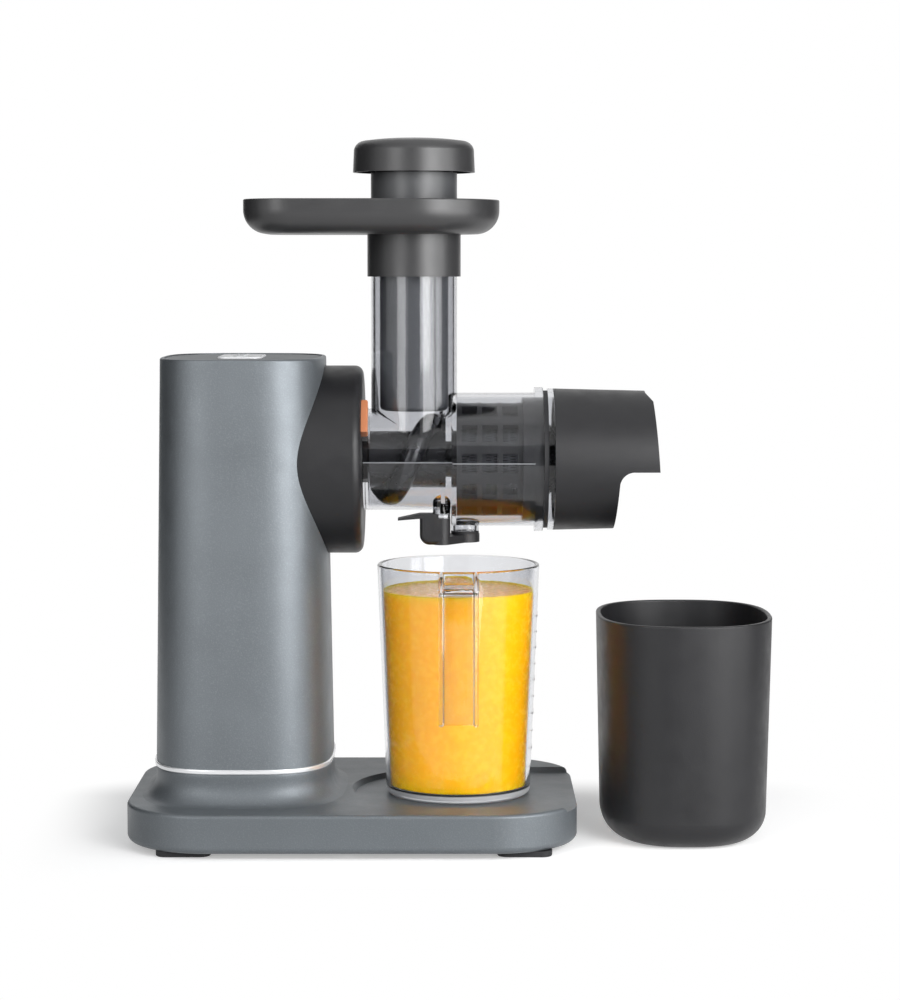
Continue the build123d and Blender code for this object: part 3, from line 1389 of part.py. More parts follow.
# Pulp container: a deep bin with a rounded plan.
container_x = base_right + container_gap + container_half_x


def container_plan(z, inset):
    """Face of the container's plan at height z, drawn in by an inset."""
    lean = container_draft * (1 - z / container_height)
    return squircle(container_x, z, container_half_x - lean - inset,
                    container_half_y - lean - inset, container_y, container_power)


def container_form(low, high, inset, foot_round):
    """Solid of the container's shape between two heights, with a rounded foot."""
    foot = []
    for step in range(container_steps + 1):
        turn = radians(90 * step / container_steps)
        foot.append(container_plan(low + foot_round * (1 - cos(turn)),
                                   inset + foot_round * (1 - sin(turn))))
    with BuildPart() as form:
        loft(foot)
        loft([container_plan(low + foot_round, inset), container_plan(high, inset)])
    return form.part


container_body = container_form(0, container_height, 0, container_round)
container_hollow = container_form(container_wall, container_height + 1, container_wall,
                                  container_round - container_wall)
with BuildPart() as pulp_container:
    add(container_body)
    add(container_hollow, mode=Mode.SUBTRACT)
    fillet(pulp_container.edges().group_by(Axis.Z)[-1], container_rim_round)
write(pulp_container.part, "pulp_container")
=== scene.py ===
import json
import math

import bmesh
import bpy
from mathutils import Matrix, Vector


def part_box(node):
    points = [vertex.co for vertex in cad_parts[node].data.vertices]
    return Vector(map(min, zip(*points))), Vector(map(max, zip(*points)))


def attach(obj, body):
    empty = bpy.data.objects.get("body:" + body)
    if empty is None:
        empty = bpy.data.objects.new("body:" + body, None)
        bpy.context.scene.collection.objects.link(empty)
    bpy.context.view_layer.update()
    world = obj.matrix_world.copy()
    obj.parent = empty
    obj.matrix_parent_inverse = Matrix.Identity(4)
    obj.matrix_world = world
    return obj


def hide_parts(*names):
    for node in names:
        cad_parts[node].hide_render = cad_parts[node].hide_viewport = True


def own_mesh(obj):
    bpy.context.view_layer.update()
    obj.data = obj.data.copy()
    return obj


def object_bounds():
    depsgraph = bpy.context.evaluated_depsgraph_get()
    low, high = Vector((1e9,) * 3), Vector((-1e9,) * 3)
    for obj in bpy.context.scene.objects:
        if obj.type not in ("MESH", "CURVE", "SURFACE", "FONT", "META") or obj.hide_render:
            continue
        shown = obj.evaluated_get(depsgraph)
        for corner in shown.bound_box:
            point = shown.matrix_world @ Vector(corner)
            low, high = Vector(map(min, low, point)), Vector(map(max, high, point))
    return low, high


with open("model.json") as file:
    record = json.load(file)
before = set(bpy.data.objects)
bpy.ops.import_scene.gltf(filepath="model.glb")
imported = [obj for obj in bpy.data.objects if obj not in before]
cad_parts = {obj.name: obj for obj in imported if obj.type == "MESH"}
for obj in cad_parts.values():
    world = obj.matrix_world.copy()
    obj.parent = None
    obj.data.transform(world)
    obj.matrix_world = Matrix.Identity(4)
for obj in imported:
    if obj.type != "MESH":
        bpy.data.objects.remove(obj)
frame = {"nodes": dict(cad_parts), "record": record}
cad_low, cad_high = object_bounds()
nodes = frame["nodes"]
scene = bpy.context.scene


# ---------------------------------------------------------------- colours and node helpers
NOISE_SPREAD = (0.3, 0.7)     # most values of a noise texture lie between these


def srgb(r, g, b):
    """Linear colour of an sRGB triple that runs from 0 to 255."""
    out = []
    for value in (r, g, b):
        v = value / 255
        out.append(v / 12.92 if v <= 0.04045 else ((v + 0.055) / 1.055) ** 2.4)
    return (*out, 1.0)


def scaled(colour, factor):
    """A colour made lighter or darker."""
    return (*[min(1.0, c * factor) for c in colour[:3]], 1.0)


class Tree:
    """Short calls for building the nodes of a material or of the world."""

    def __init__(self, owner, output="ShaderNodeOutputMaterial"):
        owner.use_nodes = True
        self.owner = owner
        self.tree = owner.node_tree
        self.tree.nodes.clear()
        self.out = self.tree.nodes.new(output)
        self.coords = None

    def node(self, kind, inputs=None, **settings):
        """New node, whose inputs are each joined to a socket or set to a value."""
        made = self.tree.nodes.new(kind)
        for key, value in settings.items():
            setattr(made, key, value)
        for key, value in (inputs or {}).items():
            if isinstance(value, bpy.types.NodeSocket):
                self.tree.links.new(value, made.inputs[key])
            else:
                made.inputs[key].default_value = value
        return made

    def place(self, stretch=(1, 1, 1)):
        """Object coordinates, in metres, times a stretch along each axis."""
        if self.coords is None:
            self.coords = self.node("ShaderNodeTexCoord").outputs["Object"]
        return self.node("ShaderNodeMapping",
                         {"Vector": self.coords, "Scale": stretch}).outputs["Vector"]

    def place_parts(self):
        """Object coordinates as separate X, Y and Z."""
        return self.node("ShaderNodeSeparateXYZ", {"Vector": self.place()}).outputs

    def noise(self, scale, detail=3.0, rough=0.55, stretch=(1, 1, 1)):
        """Cloudy pattern; its scale is about how many clouds fit into a metre."""
        return self.node("ShaderNodeTexNoise",
                         {"Vector": self.place(stretch), "Scale": scale, "Detail": detail,
                          "Roughness": rough}).outputs["Fac"]

    def ramp(self, factor, low, high, at=(0.35, 0.65)):
        """Colour that runs from low to high as the factor crosses the two places."""
        made = self.node("ShaderNodeValToRGB", {"Fac": factor})
        first, last = made.color_ramp.elements
        first.position, last.position = at
        first.color, last.color = low, high
        return made.outputs["Color"]

    def span(self, factor, low, high, at=(0.0, 1.0), **settings):
        """Value that runs from low to high as the factor crosses the two places."""
        return self.node("ShaderNodeMapRange",
                         {"Value": factor, "From Min": at[0], "From Max": at[1], "To Min": low,
                          "To Max": high}, **settings).outputs["Result"]

    def uneven(self, noise, middle, swing):
        """Value that wanders about its middle as a noise does."""
        return self.span(noise, middle - swing, middle + swing, at=NOISE_SPREAD)

    def math(self, operation, first, second=0.0):
        return self.node("ShaderNodeMath", {0: first, 1: second}, operation=operation).outputs[0]

    def vector_math(self, operation, first, second=(0, 0, 0)):
        return self.node("ShaderNodeVectorMath", {0: first, 1: second},
                         operation=operation).outputs

    def colour_mix(self, factor, first, second, **settings):
        return self.node("ShaderNodeMix", {"Factor": factor, "A": first, "B": second},
                         data_type="RGBA", **settings).outputs["Result"]

    def bump(self, height, distance, strength=1.0, normal=None):
        """Surface direction after a height pattern; its distance is in metres."""
        inputs = {"Height": height, "Distance": distance, "Strength": strength}
        if normal is not None:
            inputs["Normal"] = normal
        return self.node("ShaderNodeBump", inputs).outputs["Normal"]

    def shader(self, kind, inputs):
        """A shader node's output."""
        return self.node(kind, inputs).outputs[0]

    def principled(self, inputs):
        return self.shader("ShaderNodeBsdfPrincipled", inputs)

    def shader_mix(self, factor, first, second):
        return self.shader("ShaderNodeMixShader", {0: factor, 1: first, 2: second})

    def looked_at(self):
        """1 for rays that look at a surface, also by mirror or glass, 0 for rays of light."""
        path = self.node("ShaderNodeLightPath").outputs
        plain_or_mirrored = self.math("MAXIMUM", path["Is Camera Ray"], path["Is Glossy Ray"])
        return self.math("MAXIMUM", plain_or_mirrored, path["Is Transmission Ray"])

    def finish(self, shader):
        self.tree.links.new(shader, self.out.inputs["Surface"])
        return self.owner


def new_material(name):
    return Tree(bpy.data.materials.new(name))


# ---------------------------------------------------------------- kinds of material
def plastic(name, colour, rough, grain, depth, specular=0.5, vary=0.12, metallic=0.0, wear=0.06):
    """Moulded surface: fine grain, slow colour variation and uneven gloss."""
    t = new_material(name)
    tint = t.ramp(t.noise(26), scaled(colour, 1 - vary), scaled(colour, 1 + vary))
    fine = t.noise(grain, detail=4, rough=0.6)
    return t.finish(t.principled({"Base Color": tint, "Metallic": metallic,
                                  "Roughness": t.uneven(t.noise(90), rough, wear),
                                  "Specular IOR Level": specular,
                                  "Normal": t.bump(fine, depth)}))


def clear(name, colour, rough, index, ripple=0.00002, haze=0.0, milky_below=None, see_through=1.0):
    """Transparent moulding with a faint flow ripple; lamps reach what is behind it.

    A thick foot scatters light, so below a height the plastic looks milky.
    """
    t = new_material(name)
    flow = t.noise(34, detail=2, rough=0.4, stretch=(1, 1, 0.35))
    shine = t.span(t.noise(120, detail=2), rough, rough + 0.02 + haze, at=(0.35, 0.7))
    body = t.principled({"Base Color": colour, "Roughness": shine, "IOR": index,
                         "Transmission Weight": see_through,
                         "Normal": t.bump(flow, ripple, strength=0.4)})
    if milky_below is not None:
        milk_share = 0.4
        milk_fade = 0.0008
        milky = t.span(t.place_parts()["Z"], milk_share, 0.0,
                       at=(milky_below - milk_fade, milky_below))
        body = t.shader_mix(milky, body, t.shader("ShaderNodeBsdfDiffuse", {"Color": colour}))
    lost_by_reflection = 0.03
    # Light crosses both faces of a wall, so each face has the root of its colour.
    one_face = (*[(1 - lost_by_reflection) * math.sqrt(c) for c in colour[:3]], 1.0)
    veil = t.shader("ShaderNodeBsdfTransparent", {"Color": one_face})
    shadow_ray = t.node("ShaderNodeLightPath").outputs["Is Shadow Ray"]
    return t.finish(t.shader_mix(shadow_ray, body, veil))


def painted(name, colour, metallic, rough):
    """Satin metallic paint: fine flake, orange peel and a thin clear coat."""
    t = new_material(name)
    base = t.ramp(t.noise(14), scaled(colour, 0.95), scaled(colour, 1.05))
    flake = t.noise(1300, detail=2, rough=0.7)
    speck = t.colour_mix(t.span(flake, 0.0, 0.55, at=(0.5, 0.75)), base, scaled(colour, 1.5))
    peel = t.bump(t.noise(900, rough=0.5), 0.0001, strength=0.7)
    return t.finish(t.principled({"Base Color": speck, "Metallic": metallic,
                                  "Roughness": t.uneven(t.noise(70), rough, 0.04),
                                  "Specular IOR Level": 0.35, "Coat Weight": 0.12,
                                  "Coat Roughness": 0.35,
                                  "Normal": t.bump(flake, 0.00003, strength=0.6, normal=peel)}))


def brushed(name, colour, rough, stretch):
    """Machined metal with fine turning lines."""
    t = new_material(name)
    lines = t.noise(140, detail=4, rough=0.6, stretch=stretch)
    tint = t.ramp(t.noise(30, detail=2), scaled(colour, 0.9), scaled(colour, 1.08))
    return t.finish(t.principled({"Base Color": tint, "Metallic": 1.0,
                                  "Roughness": t.span(lines, rough - 0.08, rough + 0.1,
                                                      at=NOISE_SPREAD),
                                  "Normal": t.bump(lines, 0.00004, strength=0.5)}))


def juice_look(name):
    """Orange juice: soft pulp mottling under a wet skin."""
    t = new_material(name)
    pulp = t.noise(260, detail=5, rough=0.65)
    colour = t.ramp(pulp, srgb(248, 172, 0), srgb(253, 184, 2), at=(0.3, 0.72))
    return t.finish(t.principled({"Base Color": colour, "IOR": 1.35,
                                  "Roughness": t.span(pulp, 0.18, 0.34, at=NOISE_SPREAD),
                                  "Subsurface Weight": 0.8, "Subsurface Scale": 0.02,
                                  "Subsurface Radius": (1.0, 0.55, 0.12),
                                  "Normal": t.bump(pulp, 0.0001, strength=0.3)}))


def screen_look(name):
    """Dark steel screen with rows of fine round holes, laid out round the auger's line; the holes
    are painted dark, as painted shade for the dim inside seen through them.
    """
    turns_round = 114.0      # of a sine wave, in radians for each radian about the line
    turns_along = 650.0      # in radians for each metre
    t = new_material(name)
    low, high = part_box("strainer_screen")
    place = t.place_parts()
    height = t.math("SUBTRACT", place["Z"], (low.z + high.z) / 2)
    around = t.math("MULTIPLY", t.math("ARCTAN2", height, place["Y"]), turns_round)
    along = t.math("MULTIPLY", place["X"], turns_along)
    waves = t.math("MULTIPLY", t.math("SINE", around), t.math("SINE", along))
    # painted shade: the holes are dark dents, standing for the dim inside seen through them
    shaded_hole = t.span(waves, 0.0, 1.0, at=(0.35, 0.55))
    colour = t.colour_mix(shaded_hole, srgb(90, 91, 94), srgb(26, 27, 29))
    return t.finish(t.principled({"Base Color": colour, "Metallic": t.span(shaded_hole, 1.0, 0.2),
                                  "Roughness": t.span(t.noise(300), 0.26, 0.4, at=NOISE_SPREAD),
                                  "Normal": t.bump(shaded_hole, -0.0003, strength=0.8)}))


def wire_look(name):
    """Enamelled copper wire laid side by side."""
    t = new_material(name)
    wave = t.node("ShaderNodeTexWave",
                  {"Vector": t.place(), "Scale": 420.0, "Distortion": 1.2, "Detail": 1.0},
                  wave_type="RINGS", rings_direction="X").outputs["Fac"]
    colour = t.ramp(wave, srgb(110, 48, 20), srgb(200, 112, 60), at=(0.2, 0.8))
    return t.finish(t.principled({"Base Color": colour, "Metallic": 0.85, "Roughness": 0.32,
                                  "Normal": t.bump(wave, 0.0003)}))


def board_look(name):
    """Green solder mask with copper tracks under it."""
    t = new_material(name)
    tracks = t.node("ShaderNodeTexBrick",
                    {"Vector": t.place(), "Scale": 60.0, "Mortar Size": 0.03,
                     "Color1": srgb(16, 74, 44), "Color2": srgb(20, 84, 50),
                     "Mortar": srgb(60, 128, 72)}).outputs
    return t.finish(t.principled({"Base Color": tracks["Color"], "Roughness": 0.35,
                                  "Normal": t.bump(tracks["Fac"], 0.00006)}))


# ---------------------------------------------------------------- materials of the CAD nodes
looks = {
    "painted_shell": painted("painted_shell", srgb(104, 109, 113), metallic=0.7, rough=0.5),
    "base_paint": painted("base_paint", srgb(96, 101, 105), metallic=0.45, rough=0.5),
    "charcoal_plastic": plastic("charcoal_plastic", srgb(28, 28, 30), rough=0.44, grain=1500,
                                depth=0.00005, specular=0.34),
    "gloss_charcoal": plastic("gloss_charcoal", srgb(52, 52, 53), rough=0.38, grain=260,
                              depth=0.00001, vary=0.06, wear=0.03),
    "white_trim": plastic("white_trim", srgb(226, 227, 229), rough=0.22, grain=700,
                          depth=0.00001, vary=0.02, metallic=0.55, wear=0.03),
    "clear_plastic": clear("clear_plastic", srgb(218, 219, 222), rough=0.04, index=1.4),
    "strainer_plastic": clear("strainer_plastic", srgb(46, 46, 48), rough=0.34, index=1.45,
                              ripple=0.00004, haze=0.1, see_through=0.55),
    "screen_steel": screen_look("screen_steel"),
    "orange_plastic": plastic("orange_plastic", srgb(178, 112, 75), rough=0.36, grain=900,
                              depth=0.00003, specular=0.4, vary=0.05),
    "silicone": plastic("silicone", srgb(34, 34, 36), rough=0.62, grain=700, depth=0.00006,
                        specular=0.3),
    "machine_steel": brushed("machine_steel", srgb(196, 198, 202), rough=0.28, stretch=(1, 9, 9)),
    "gear_nylon": plastic("gear_nylon", srgb(214, 208, 190), rough=0.42, grain=900,
                          depth=0.00004, specular=0.4, vary=0.05),
    "bronze": brushed("bronze", srgb(190, 142, 82), rough=0.34, stretch=(1, 7, 7)),
    "copper_wire": wire_look("copper_wire"),
    "circuit_board": board_look("circuit_board"),
    "white_button": plastic("white_button", srgb(206, 208, 210), rough=0.34, grain=800,
                            depth=0.00002, specular=0.4, vary=0.02),
    "auger_resin": plastic("auger_resin", srgb(30, 30, 32), rough=0.26, grain=420,
                           depth=0.00004, vary=0.1, wear=0.05),
}
own_looks = {      # nodes whose finish differs a little from the rest of their slot, or that carry painted shade
    # painted shade: the lid's paint is the tower's made darker, for the dim reflection on its top;
    # its gloss differs a little too
    "tower_lid": painted("lid_painted_shade", srgb(78, 83, 87), metallic=0.35, rough=0.55),
    "pusher_body": plastic("pusher_grey", srgb(72, 73, 75), rough=0.4, grain=260,
                           depth=0.00001, vary=0.06, wear=0.03),
    "control_panel": plastic("panel_face", srgb(226, 227, 229), rough=0.42, grain=700,
                             depth=0.00001, specular=0.4, vary=0.02),
}
slot_of = {part["node"]: part["material_slot"] for part in frame["record"]["subparts"]}


def dress(obj, material):
    """Gives every material slot of an object one material."""
    if not obj.data.materials:
        obj.data.materials.append(material)
    for index in range(len(obj.data.materials)):
        obj.data.materials[index] = material


for name, obj in nodes.items():
    dress(obj, own_looks.get(name, looks[slot_of[name]]))


# ---------------------------------------------------------------- mesh helpers
def solid(name, bm, material, sharp_from=40):
    """Turns a bmesh into a dressed object, smooth but for edges from an angle in degrees."""
    bmesh.ops.recalc_face_normals(bm, faces=bm.faces)
    mesh = bpy.data.meshes.new(name)
    bm.to_mesh(mesh)
    bm.free()
    obj = bpy.data.objects.new(name, mesh)
    scene.collection.objects.link(obj)
    dress(obj, material)
    mesh.shade_smooth()
    mesh.set_sharp_from_angle(angle=math.radians(sharp_from))
    return obj


def from_mesh(mesh):
    bm = bmesh.new()
    bm.from_mesh(mesh)
    return bm


def band(bm, first, second):
    """Faces between two rings of as many points."""
    for i in range(len(first)):
        j = (i + 1) % len(first)
        bm.faces.new((first[i], first[j], second[j], second[i]))


def lathe(name, profile, centre, material, steps=128):
    """Closed body turned about a vertical line; only the profile's two ends lie on the line."""
    turns = [2 * math.pi * i / steps for i in range(steps)]
    bm = bmesh.new()
    rings = []
    for radius, z in profile[1:-1]:
        rings.append([bm.verts.new((centre[0] + radius * math.cos(turn),
                                    centre[1] + radius * math.sin(turn), z)) for turn in turns])
    for first, second in zip(rings, rings[1:]):
        band(bm, first, second)
    for ring, (_, z) in ((rings[0], profile[0]), (rings[-1], profile[-1])):
        tip = bm.verts.new((*centre, z))
        for i in range(steps):
            bm.faces.new((ring[i], ring[(i + 1) % steps], tip))
    return solid(name, bm, material, sharp_from=30)


def softened(name, node, radius, material):
    """Copy of a CAD node whose sharp edges are rounded, as a moulding's are."""
    sharp = 35       # degrees
    bm = from_mesh(nodes[node].data)
    bmesh.ops.remove_doubles(bm, verts=bm.verts, dist=1e-6)
    bmesh.ops.dissolve_limit(bm, angle_limit=math.radians(1), verts=bm.verts, edges=bm.edges)
    obj = solid(name, bm, material, sharp_from=sharp)
    rounding = obj.modifiers.new("rounding", "BEVEL")
    rounding.width = radius
    rounding.segments = 3
    rounding.limit_method = "ANGLE"
    rounding.angle_limit = math.radians(sharp)
    rounding.use_clamp_overlap = False
    rounding.harden_normals = True
    return obj


def slab(bm, point, width, height, thick, parts=4):
    """Thin closed bar whose corners come from a function of place along, place up and lift."""
    rings = []
    for i in range(parts + 1):
        along = width * (i / parts - 0.5)
        rings.append([bm.verts.new(point(along, up, lift))
                      for up, lift in ((-height / 2, 0), (height / 2, 0),
                                       (height / 2, thick), (-height / 2, thick))])
    for first, second in zip(rings, rings[1:]):
        band(bm, first, second)
    bm.faces.new(rings[0])
    bm.faces.new(rings[-1])


# ---------------------------------------------------------------- jug
jug_low, jug_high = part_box("juice_jug")
jug_top_radius = (jug_high.x - jug_low.x) / 2
jug_bottom_radius = 0.0433       # this, the wall and the floor are the CAD jug's sizes
jug_wall = 0.0025
jug_floor_thick = 0.0055
jug_edge_round = 0.00118
jug_floor = jug_low.z + jug_floor_thick
jug_x = (jug_low.x + jug_high.x) / 2
jug_y = jug_high.y - jug_top_radius       # the handle lengthens the box on its front side only
flare = jug_top_radius - jug_bottom_radius

jug_body = softened("jug_body", "juice_jug", jug_edge_round,
                    clear("jug_plastic", srgb(230, 231, 234), rough=0.03, index=1.4,
                          milky_below=jug_floor))
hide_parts("juice_jug")
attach(jug_body, "jug")


def inner_radius(z):
    return jug_bottom_radius - jug_wall + (z - jug_floor) * flare / (jug_high.z - jug_floor)


def outer_radius(z):
    return jug_bottom_radius + (z - jug_low.z) * flare / (jug_high.z - jug_low.z)


# ---------------------------------------------------------------- juice
wall_gap = 0.0005
floor_gap = 0.0003
below_brim = 0.0153
edge_rise = 0.0011           # of the wetted edge above the flat middle
edge_width = 0.004
foot_curve = 0.0012
juice_foot = jug_floor + floor_gap
juice_level = jug_high.z - below_brim


def juice_profile():
    """Half section of the juice: rounded foot, wall, wetted edge and flat middle."""
    foot_steps = 6
    wall_steps = 12
    edge_steps = 8
    points = [(0, juice_foot)]
    for step in range(foot_steps + 1):
        turn = math.pi / 2 * step / foot_steps
        points.append((inner_radius(jug_floor) - wall_gap - foot_curve * (1 - math.sin(turn)),
                       juice_foot + foot_curve * (1 - math.cos(turn))))
    wall_foot = juice_foot + foot_curve
    for step in range(1, wall_steps + 1):
        z = wall_foot + (juice_level - wall_foot) * step / wall_steps
        points.append((inner_radius(z) - wall_gap, z))
    rim = inner_radius(juice_level) - wall_gap
    for step in range(1, edge_steps + 1):
        share = step / edge_steps
        points.append((rim - edge_width * share, juice_level - edge_rise * (1 - (1 - share) ** 3)))
    points.append((rim / 2, juice_level - edge_rise))
    points.append((0, juice_level - edge_rise))
    return points


juice = lathe("juice", juice_profile(), (jug_x, jug_y), juice_look("orange_juice"))
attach(juice, "jug")

# ---------------------------------------------------------------- scale printed on the jug
print_grey = plastic("print_grey", srgb(112, 114, 118), rough=0.5, grain=900, depth=0.00001,
                     specular=0.3, vary=0.04)
print_thick = 0.00012
print_lift = 0.00006         # off the jug's wall
OUNCE = 29.5735e-6           # cubic metres
mark_step = 2                # ounces from mark to mark
number_step = 4              # ounces from number to number, where the mark is longer
scale_top = 20
short_mark = 0.004
long_mark = 0.007
mark_height = 0.0005
mark_start = -0.0075         # round the jug from its rightmost line, minus being to the front
digits_start = 0.0008
digit_size = 0.0048


def level_of(volume):
    """Height that a volume of juice, in cubic metres, reaches in the jug."""
    slice_height = 0.0002
    z = jug_floor
    held = 0.0
    while held < volume:
        held += math.pi * inner_radius(z) ** 2 * slice_height
        z += slice_height
    return z


def on_jug(along, z, lift):
    """Point of the jug's right side: a distance round it, a height and a distance outwards."""
    angle = along / outer_radius(z)
    radius = outer_radius(z) + lift
    return (jug_x + radius * math.cos(angle), jug_y + radius * math.sin(angle), z)


def add_mark(bm, ounces):
    z = level_of(ounces * OUNCE)
    width = short_mark if ounces % number_step else long_mark
    middle = mark_start + width / 2
    slab(bm, lambda along, up, lift: on_jug(middle + along, z + up, lift + print_lift),
         width, mark_height, print_thick)


def written(text):
    """Flat mesh of a text, which starts at the origin."""
    curve = bpy.data.curves.new(f"digits_{text}", "FONT")
    curve.body = text
    curve.size = digit_size
    curve.extrude = print_thick / 2
    curve.align_x = "LEFT"
    curve.align_y = "CENTER"
    writer = bpy.data.objects.new(f"digits_{text}", curve)
    scene.collection.objects.link(writer)
    bpy.context.view_layer.update()
    mesh = bpy.data.meshes.new_from_object(writer)
    bpy.data.objects.remove(writer)
    return mesh


bm = bmesh.new()
for ounces in range(mark_step, scale_top + 1, mark_step):
    add_mark(bm, ounces)
jug_scale = solid("jug_scale", bm, print_grey)
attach(jug_scale, "jug")

for ounces in range(number_step, scale_top + 1, number_step):
    mesh = written(str(ounces))
    z = level_of(ounces * OUNCE)
    for vertex in mesh.vertices:
        vertex.co = on_jug(vertex.co.x + digits_start, z + vertex.co.y,
                           vertex.co.z + print_thick / 2 + print_lift)
    digits = solid(f"jug_number_{ounces}", from_mesh(mesh), print_grey)
    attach(digits, "jug")

# ---------------------------------------------------------------- latch: the spring, as a smooth copy with a mesh of its own
coil = solid("latch_spring_coil", from_mesh(nodes["latch_spring"].data), looks["machine_steel"])
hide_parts("latch_spring")
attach(coil, "base_unit")
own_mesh(coil)

# ---------------------------------------------------------------- chamber: parting line, light grey as painted highlight
auger_low, auger_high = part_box("auger")
axis_z = (auger_low.z + auger_high.z) / 2
barrel_radius = 0.0305       # this and the next are the CAD chamber's outer radii
drum_radius = 0.0400
barrel_from = -0.0525        # the line's places along X end just short of the walls' steps
drum_from = 0.0004
drum_to = 0.0492
seam_break = 0.0002          # between the barrel's line and the drum's
seam_height = 0.0006
seam_proud = 0.0003
seam_sink = 0.0002


def add_seam(bm, side, radius, start, end):
    """Raised line on the front or the back of a turned wall, from one X to another."""
    middle = (start + end) / 2
    slab(bm, lambda along, up, lift: (middle + along, side * (radius - seam_sink + lift),
                                      axis_z + up),
         end - start, seam_height, seam_proud + seam_sink)


bm = bmesh.new()
for side in (-1, 1):
    add_seam(bm, side, barrel_radius, barrel_from, drum_from - seam_break)
    add_seam(bm, side, drum_radius, drum_from, drum_to)
# the raised line is real; its opaque light grey is painted highlight, standing for the light that
# a clear ridge catches
parting_line = solid("chamber_parting_line", bm,
                     plastic("seam_painted_highlight", srgb(134, 136, 139), rough=0.34, grain=900,
                             depth=0.00001, vary=0.04))
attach(parting_line, "chamber")

# ---------------------------------------------------------------- panel: signs on the buttons
stroke = 0.0004
power_radius = 0.0019
power_bar = (0.0006, 0.0026)      # from and to, along Y
reverse_radius = 0.0018


def arc(radius, start, end, steps=24):
    """Points on an arc, angles in degrees."""
    turns = [math.radians(start + (end - start) * i / steps) for i in range(steps + 1)]
    return [(radius * math.cos(turn), radius * math.sin(turn)) for turn in turns]


def arc_band(radius, start, end):
    """Outline of a curved stroke."""
    return arc(radius + stroke / 2, start, end) + arc(radius - stroke / 2, start, end)[::-1]


def sign(node, body, outlines):
    """Thin printed sign on top of a button; each outline is in metres about its middle."""
    low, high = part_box(node)
    centre = (low + high) / 2
    bm = bmesh.new()
    for outline in outlines:
        base, top = ([bm.verts.new((centre.x + x, centre.y + y, high.z + lift))
                      for x, y in outline] for lift in (0, print_thick))
        bm.faces.new(base)
        bm.faces.new(top)
        band(bm, base, top)
    made = solid(f"{node}_sign", bm, print_grey)
    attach(made, body)


sign("power_button", "power_key",
     [arc_band(power_radius, 120, 420),
      [(-stroke / 2, power_bar[0]), (stroke / 2, power_bar[0]),
       (stroke / 2, power_bar[1]), (-stroke / 2, power_bar[1])]])
sign("start_button", "start_key", [[(-0.0012, -0.0017), (0.0019, 0), (-0.0012, 0.0017)]])
sign("reverse_button", "reverse_key",
     [arc_band(reverse_radius, -60, 210),
      [(-0.0026, -0.0004), (-0.0008, -0.0004), (-0.0017, -0.0018)]])

# ---------------------------------------------------------------- world and floor
scene.view_settings.view_transform = "Standard"
WHITE = (1, 1, 1, 1)


def studio_world():
    """White where it is looked at; a faint, slightly cool light all round."""
    t = Tree(bpy.data.worlds.new("studio"), "ShaderNodeOutputWorld")
    given = t.shader("ShaderNodeBackground", {"Color": (0.96, 0.98, 1.0, 1), "Strength": 0.28})
    shown = t.shader("ShaderNodeBackground", {"Color": WHITE, "Strength": 1.0})
    return t.finish(t.shader_mix(t.looked_at(), given, shown))


def floor_look():
    """Pale paper that takes the object's shadow and turns plain white away from the object."""
    lit = (0.8, 0.8, 0.8, 1)            # the paper's colour for rays of light
    seen = (1.25, 1.25, 1.25, 1)        # and where it is looked at, so that it renders white
    white_share = 0.35                  # of the plain white that is mixed in at the object
    shadow_reach = 0.07                 # beyond the object's box, where the plain white is full
    t = new_material("studio_floor")
    looked_at = t.looked_at()
    paper = t.colour_mix(looked_at, lit, seen, clamp_factor=False)
    matte = t.shader("ShaderNodeBsdfDiffuse", {"Color": paper})
    glow = t.shader("ShaderNodeEmission", {"Color": WHITE, "Strength": looked_at})
    place = t.node("ShaderNodeTexCoord").outputs["Object"]
    folded = t.vector_math("ABSOLUTE", place)["Vector"]      # the box is centred on the origin
    past_box = t.vector_math("SUBTRACT", folded, (cad_high.x, cad_high.y, 0))["Vector"]
    outside = t.vector_math("MAXIMUM", past_box)["Vector"]
    distance = t.vector_math("LENGTH", outside)["Value"]
    white = t.span(distance, white_share, 1.0, at=(0.0, shadow_reach),
                   interpolation_type="SMOOTHSTEP")
    return t.finish(t.shader_mix(white, matte, glow))


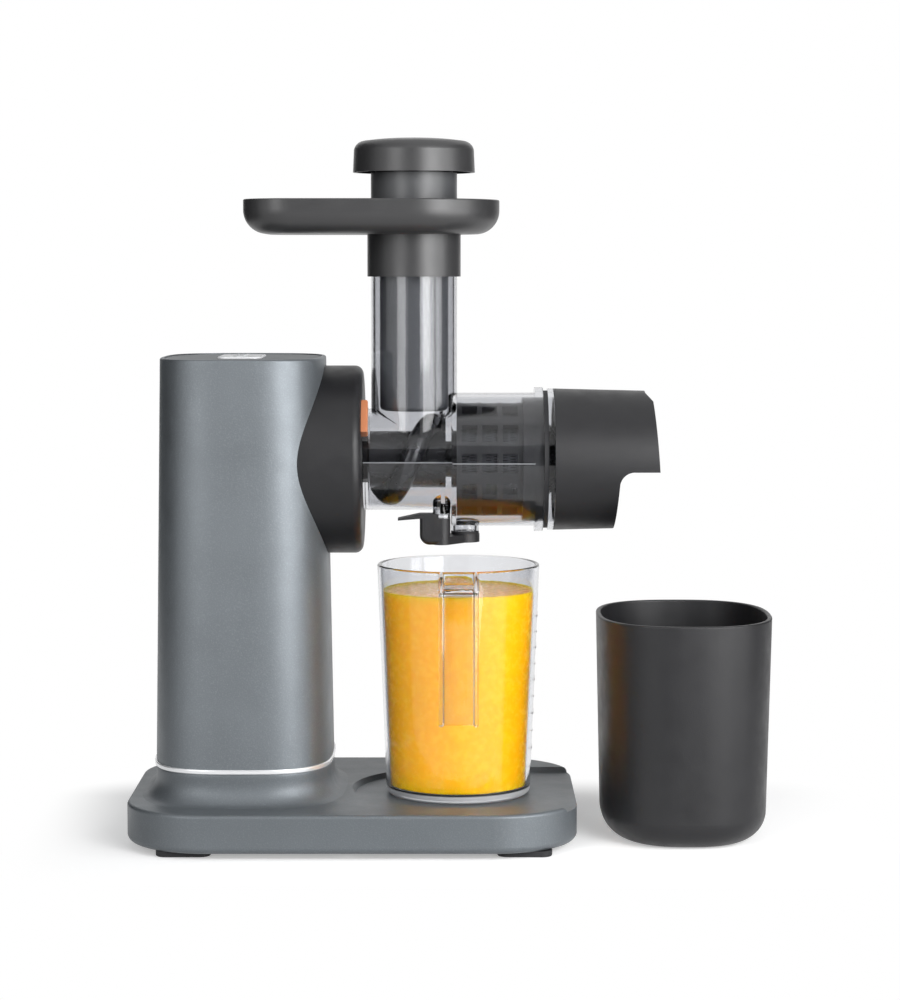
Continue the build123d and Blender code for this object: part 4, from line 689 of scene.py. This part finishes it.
scene.world = studio_world()
floor_reach = 30
floor_drop = 0.0002          # keeps it from lying in one plane with the object's underside
bm = bmesh.new()
bmesh.ops.create_grid(bm, x_segments=8, y_segments=8, size=floor_reach)
floor = solid("studio_floor", bm, floor_look())
floor.location.z = -floor_drop


# ---------------------------------------------------------------- lamps, boards and camera
def softbox(name, place, aim, width, height, watts):
    """Rectangular soft light that faces a point."""
    data = bpy.data.lights.new(name, "AREA")
    data.shape = "RECTANGLE"
    data.size = width
    data.size_y = height
    data.energy = watts
    lamp = bpy.data.objects.new(name, data)
    lamp.location = place
    lamp.rotation_euler = (Vector(aim) - Vector(place)).to_track_quat("-Z", "Y").to_euler()
    scene.collection.objects.link(lamp)


def flag(name, start, stop):
    """Upright dark board, as a photographer's, that the camera sees only by mirror or glass."""
    board_height = 1.2
    bm = bmesh.new()
    corners = ((*start, 0), (*stop, 0), (*stop, board_height), (*start, board_height))
    bm.faces.new([bm.verts.new(corner) for corner in corners])
    board = solid(name, bm, looks["silicone"])
    board.visible_camera = False


softbox("key_right", (0.9, -1.62, 0.78), aim=(0, 0, 0.27), width=1.05, height=1.2, watts=20)
softbox("key_left", (-1.05, -1.55, 0.72), aim=(0, 0, 0.25), width=0.8, height=1.25, watts=13)
softbox("strip_right", (0.54, -0.68, 0.35), aim=(0, -0.02, 0.26), width=0.5, height=0.66,
        watts=6.4)
softbox("edge_right", (0.86, -0.34, 0.33), aim=(0.05, -0.02, 0.24), width=0.3, height=0.66,
        watts=2.9)
softbox("top", (0, -0.1, 1.6), aim=(0, 0, 0.1), width=1.2, height=0.9, watts=1)

flag("flag_left", (-0.75, -0.15), (-0.75, 1.3))
flag("flag_right", (0.85, -0.15), (0.85, 1.3))
flag("flag_front", (-0.55, -1.9), (0.55, -1.9))

camera_tilt = 5.0            # degrees below level
camera_data = bpy.data.cameras.new("camera")
camera_data.sensor_width = 36.0
camera_data.lens = 96.8
camera = bpy.data.objects.new("camera", camera_data)
camera.location = (-0.001, -1.614, 0.3415)
camera.rotation_euler = (math.radians(90 - camera_tilt), 0, 0)
scene.collection.objects.link(camera)
scene.camera = camera
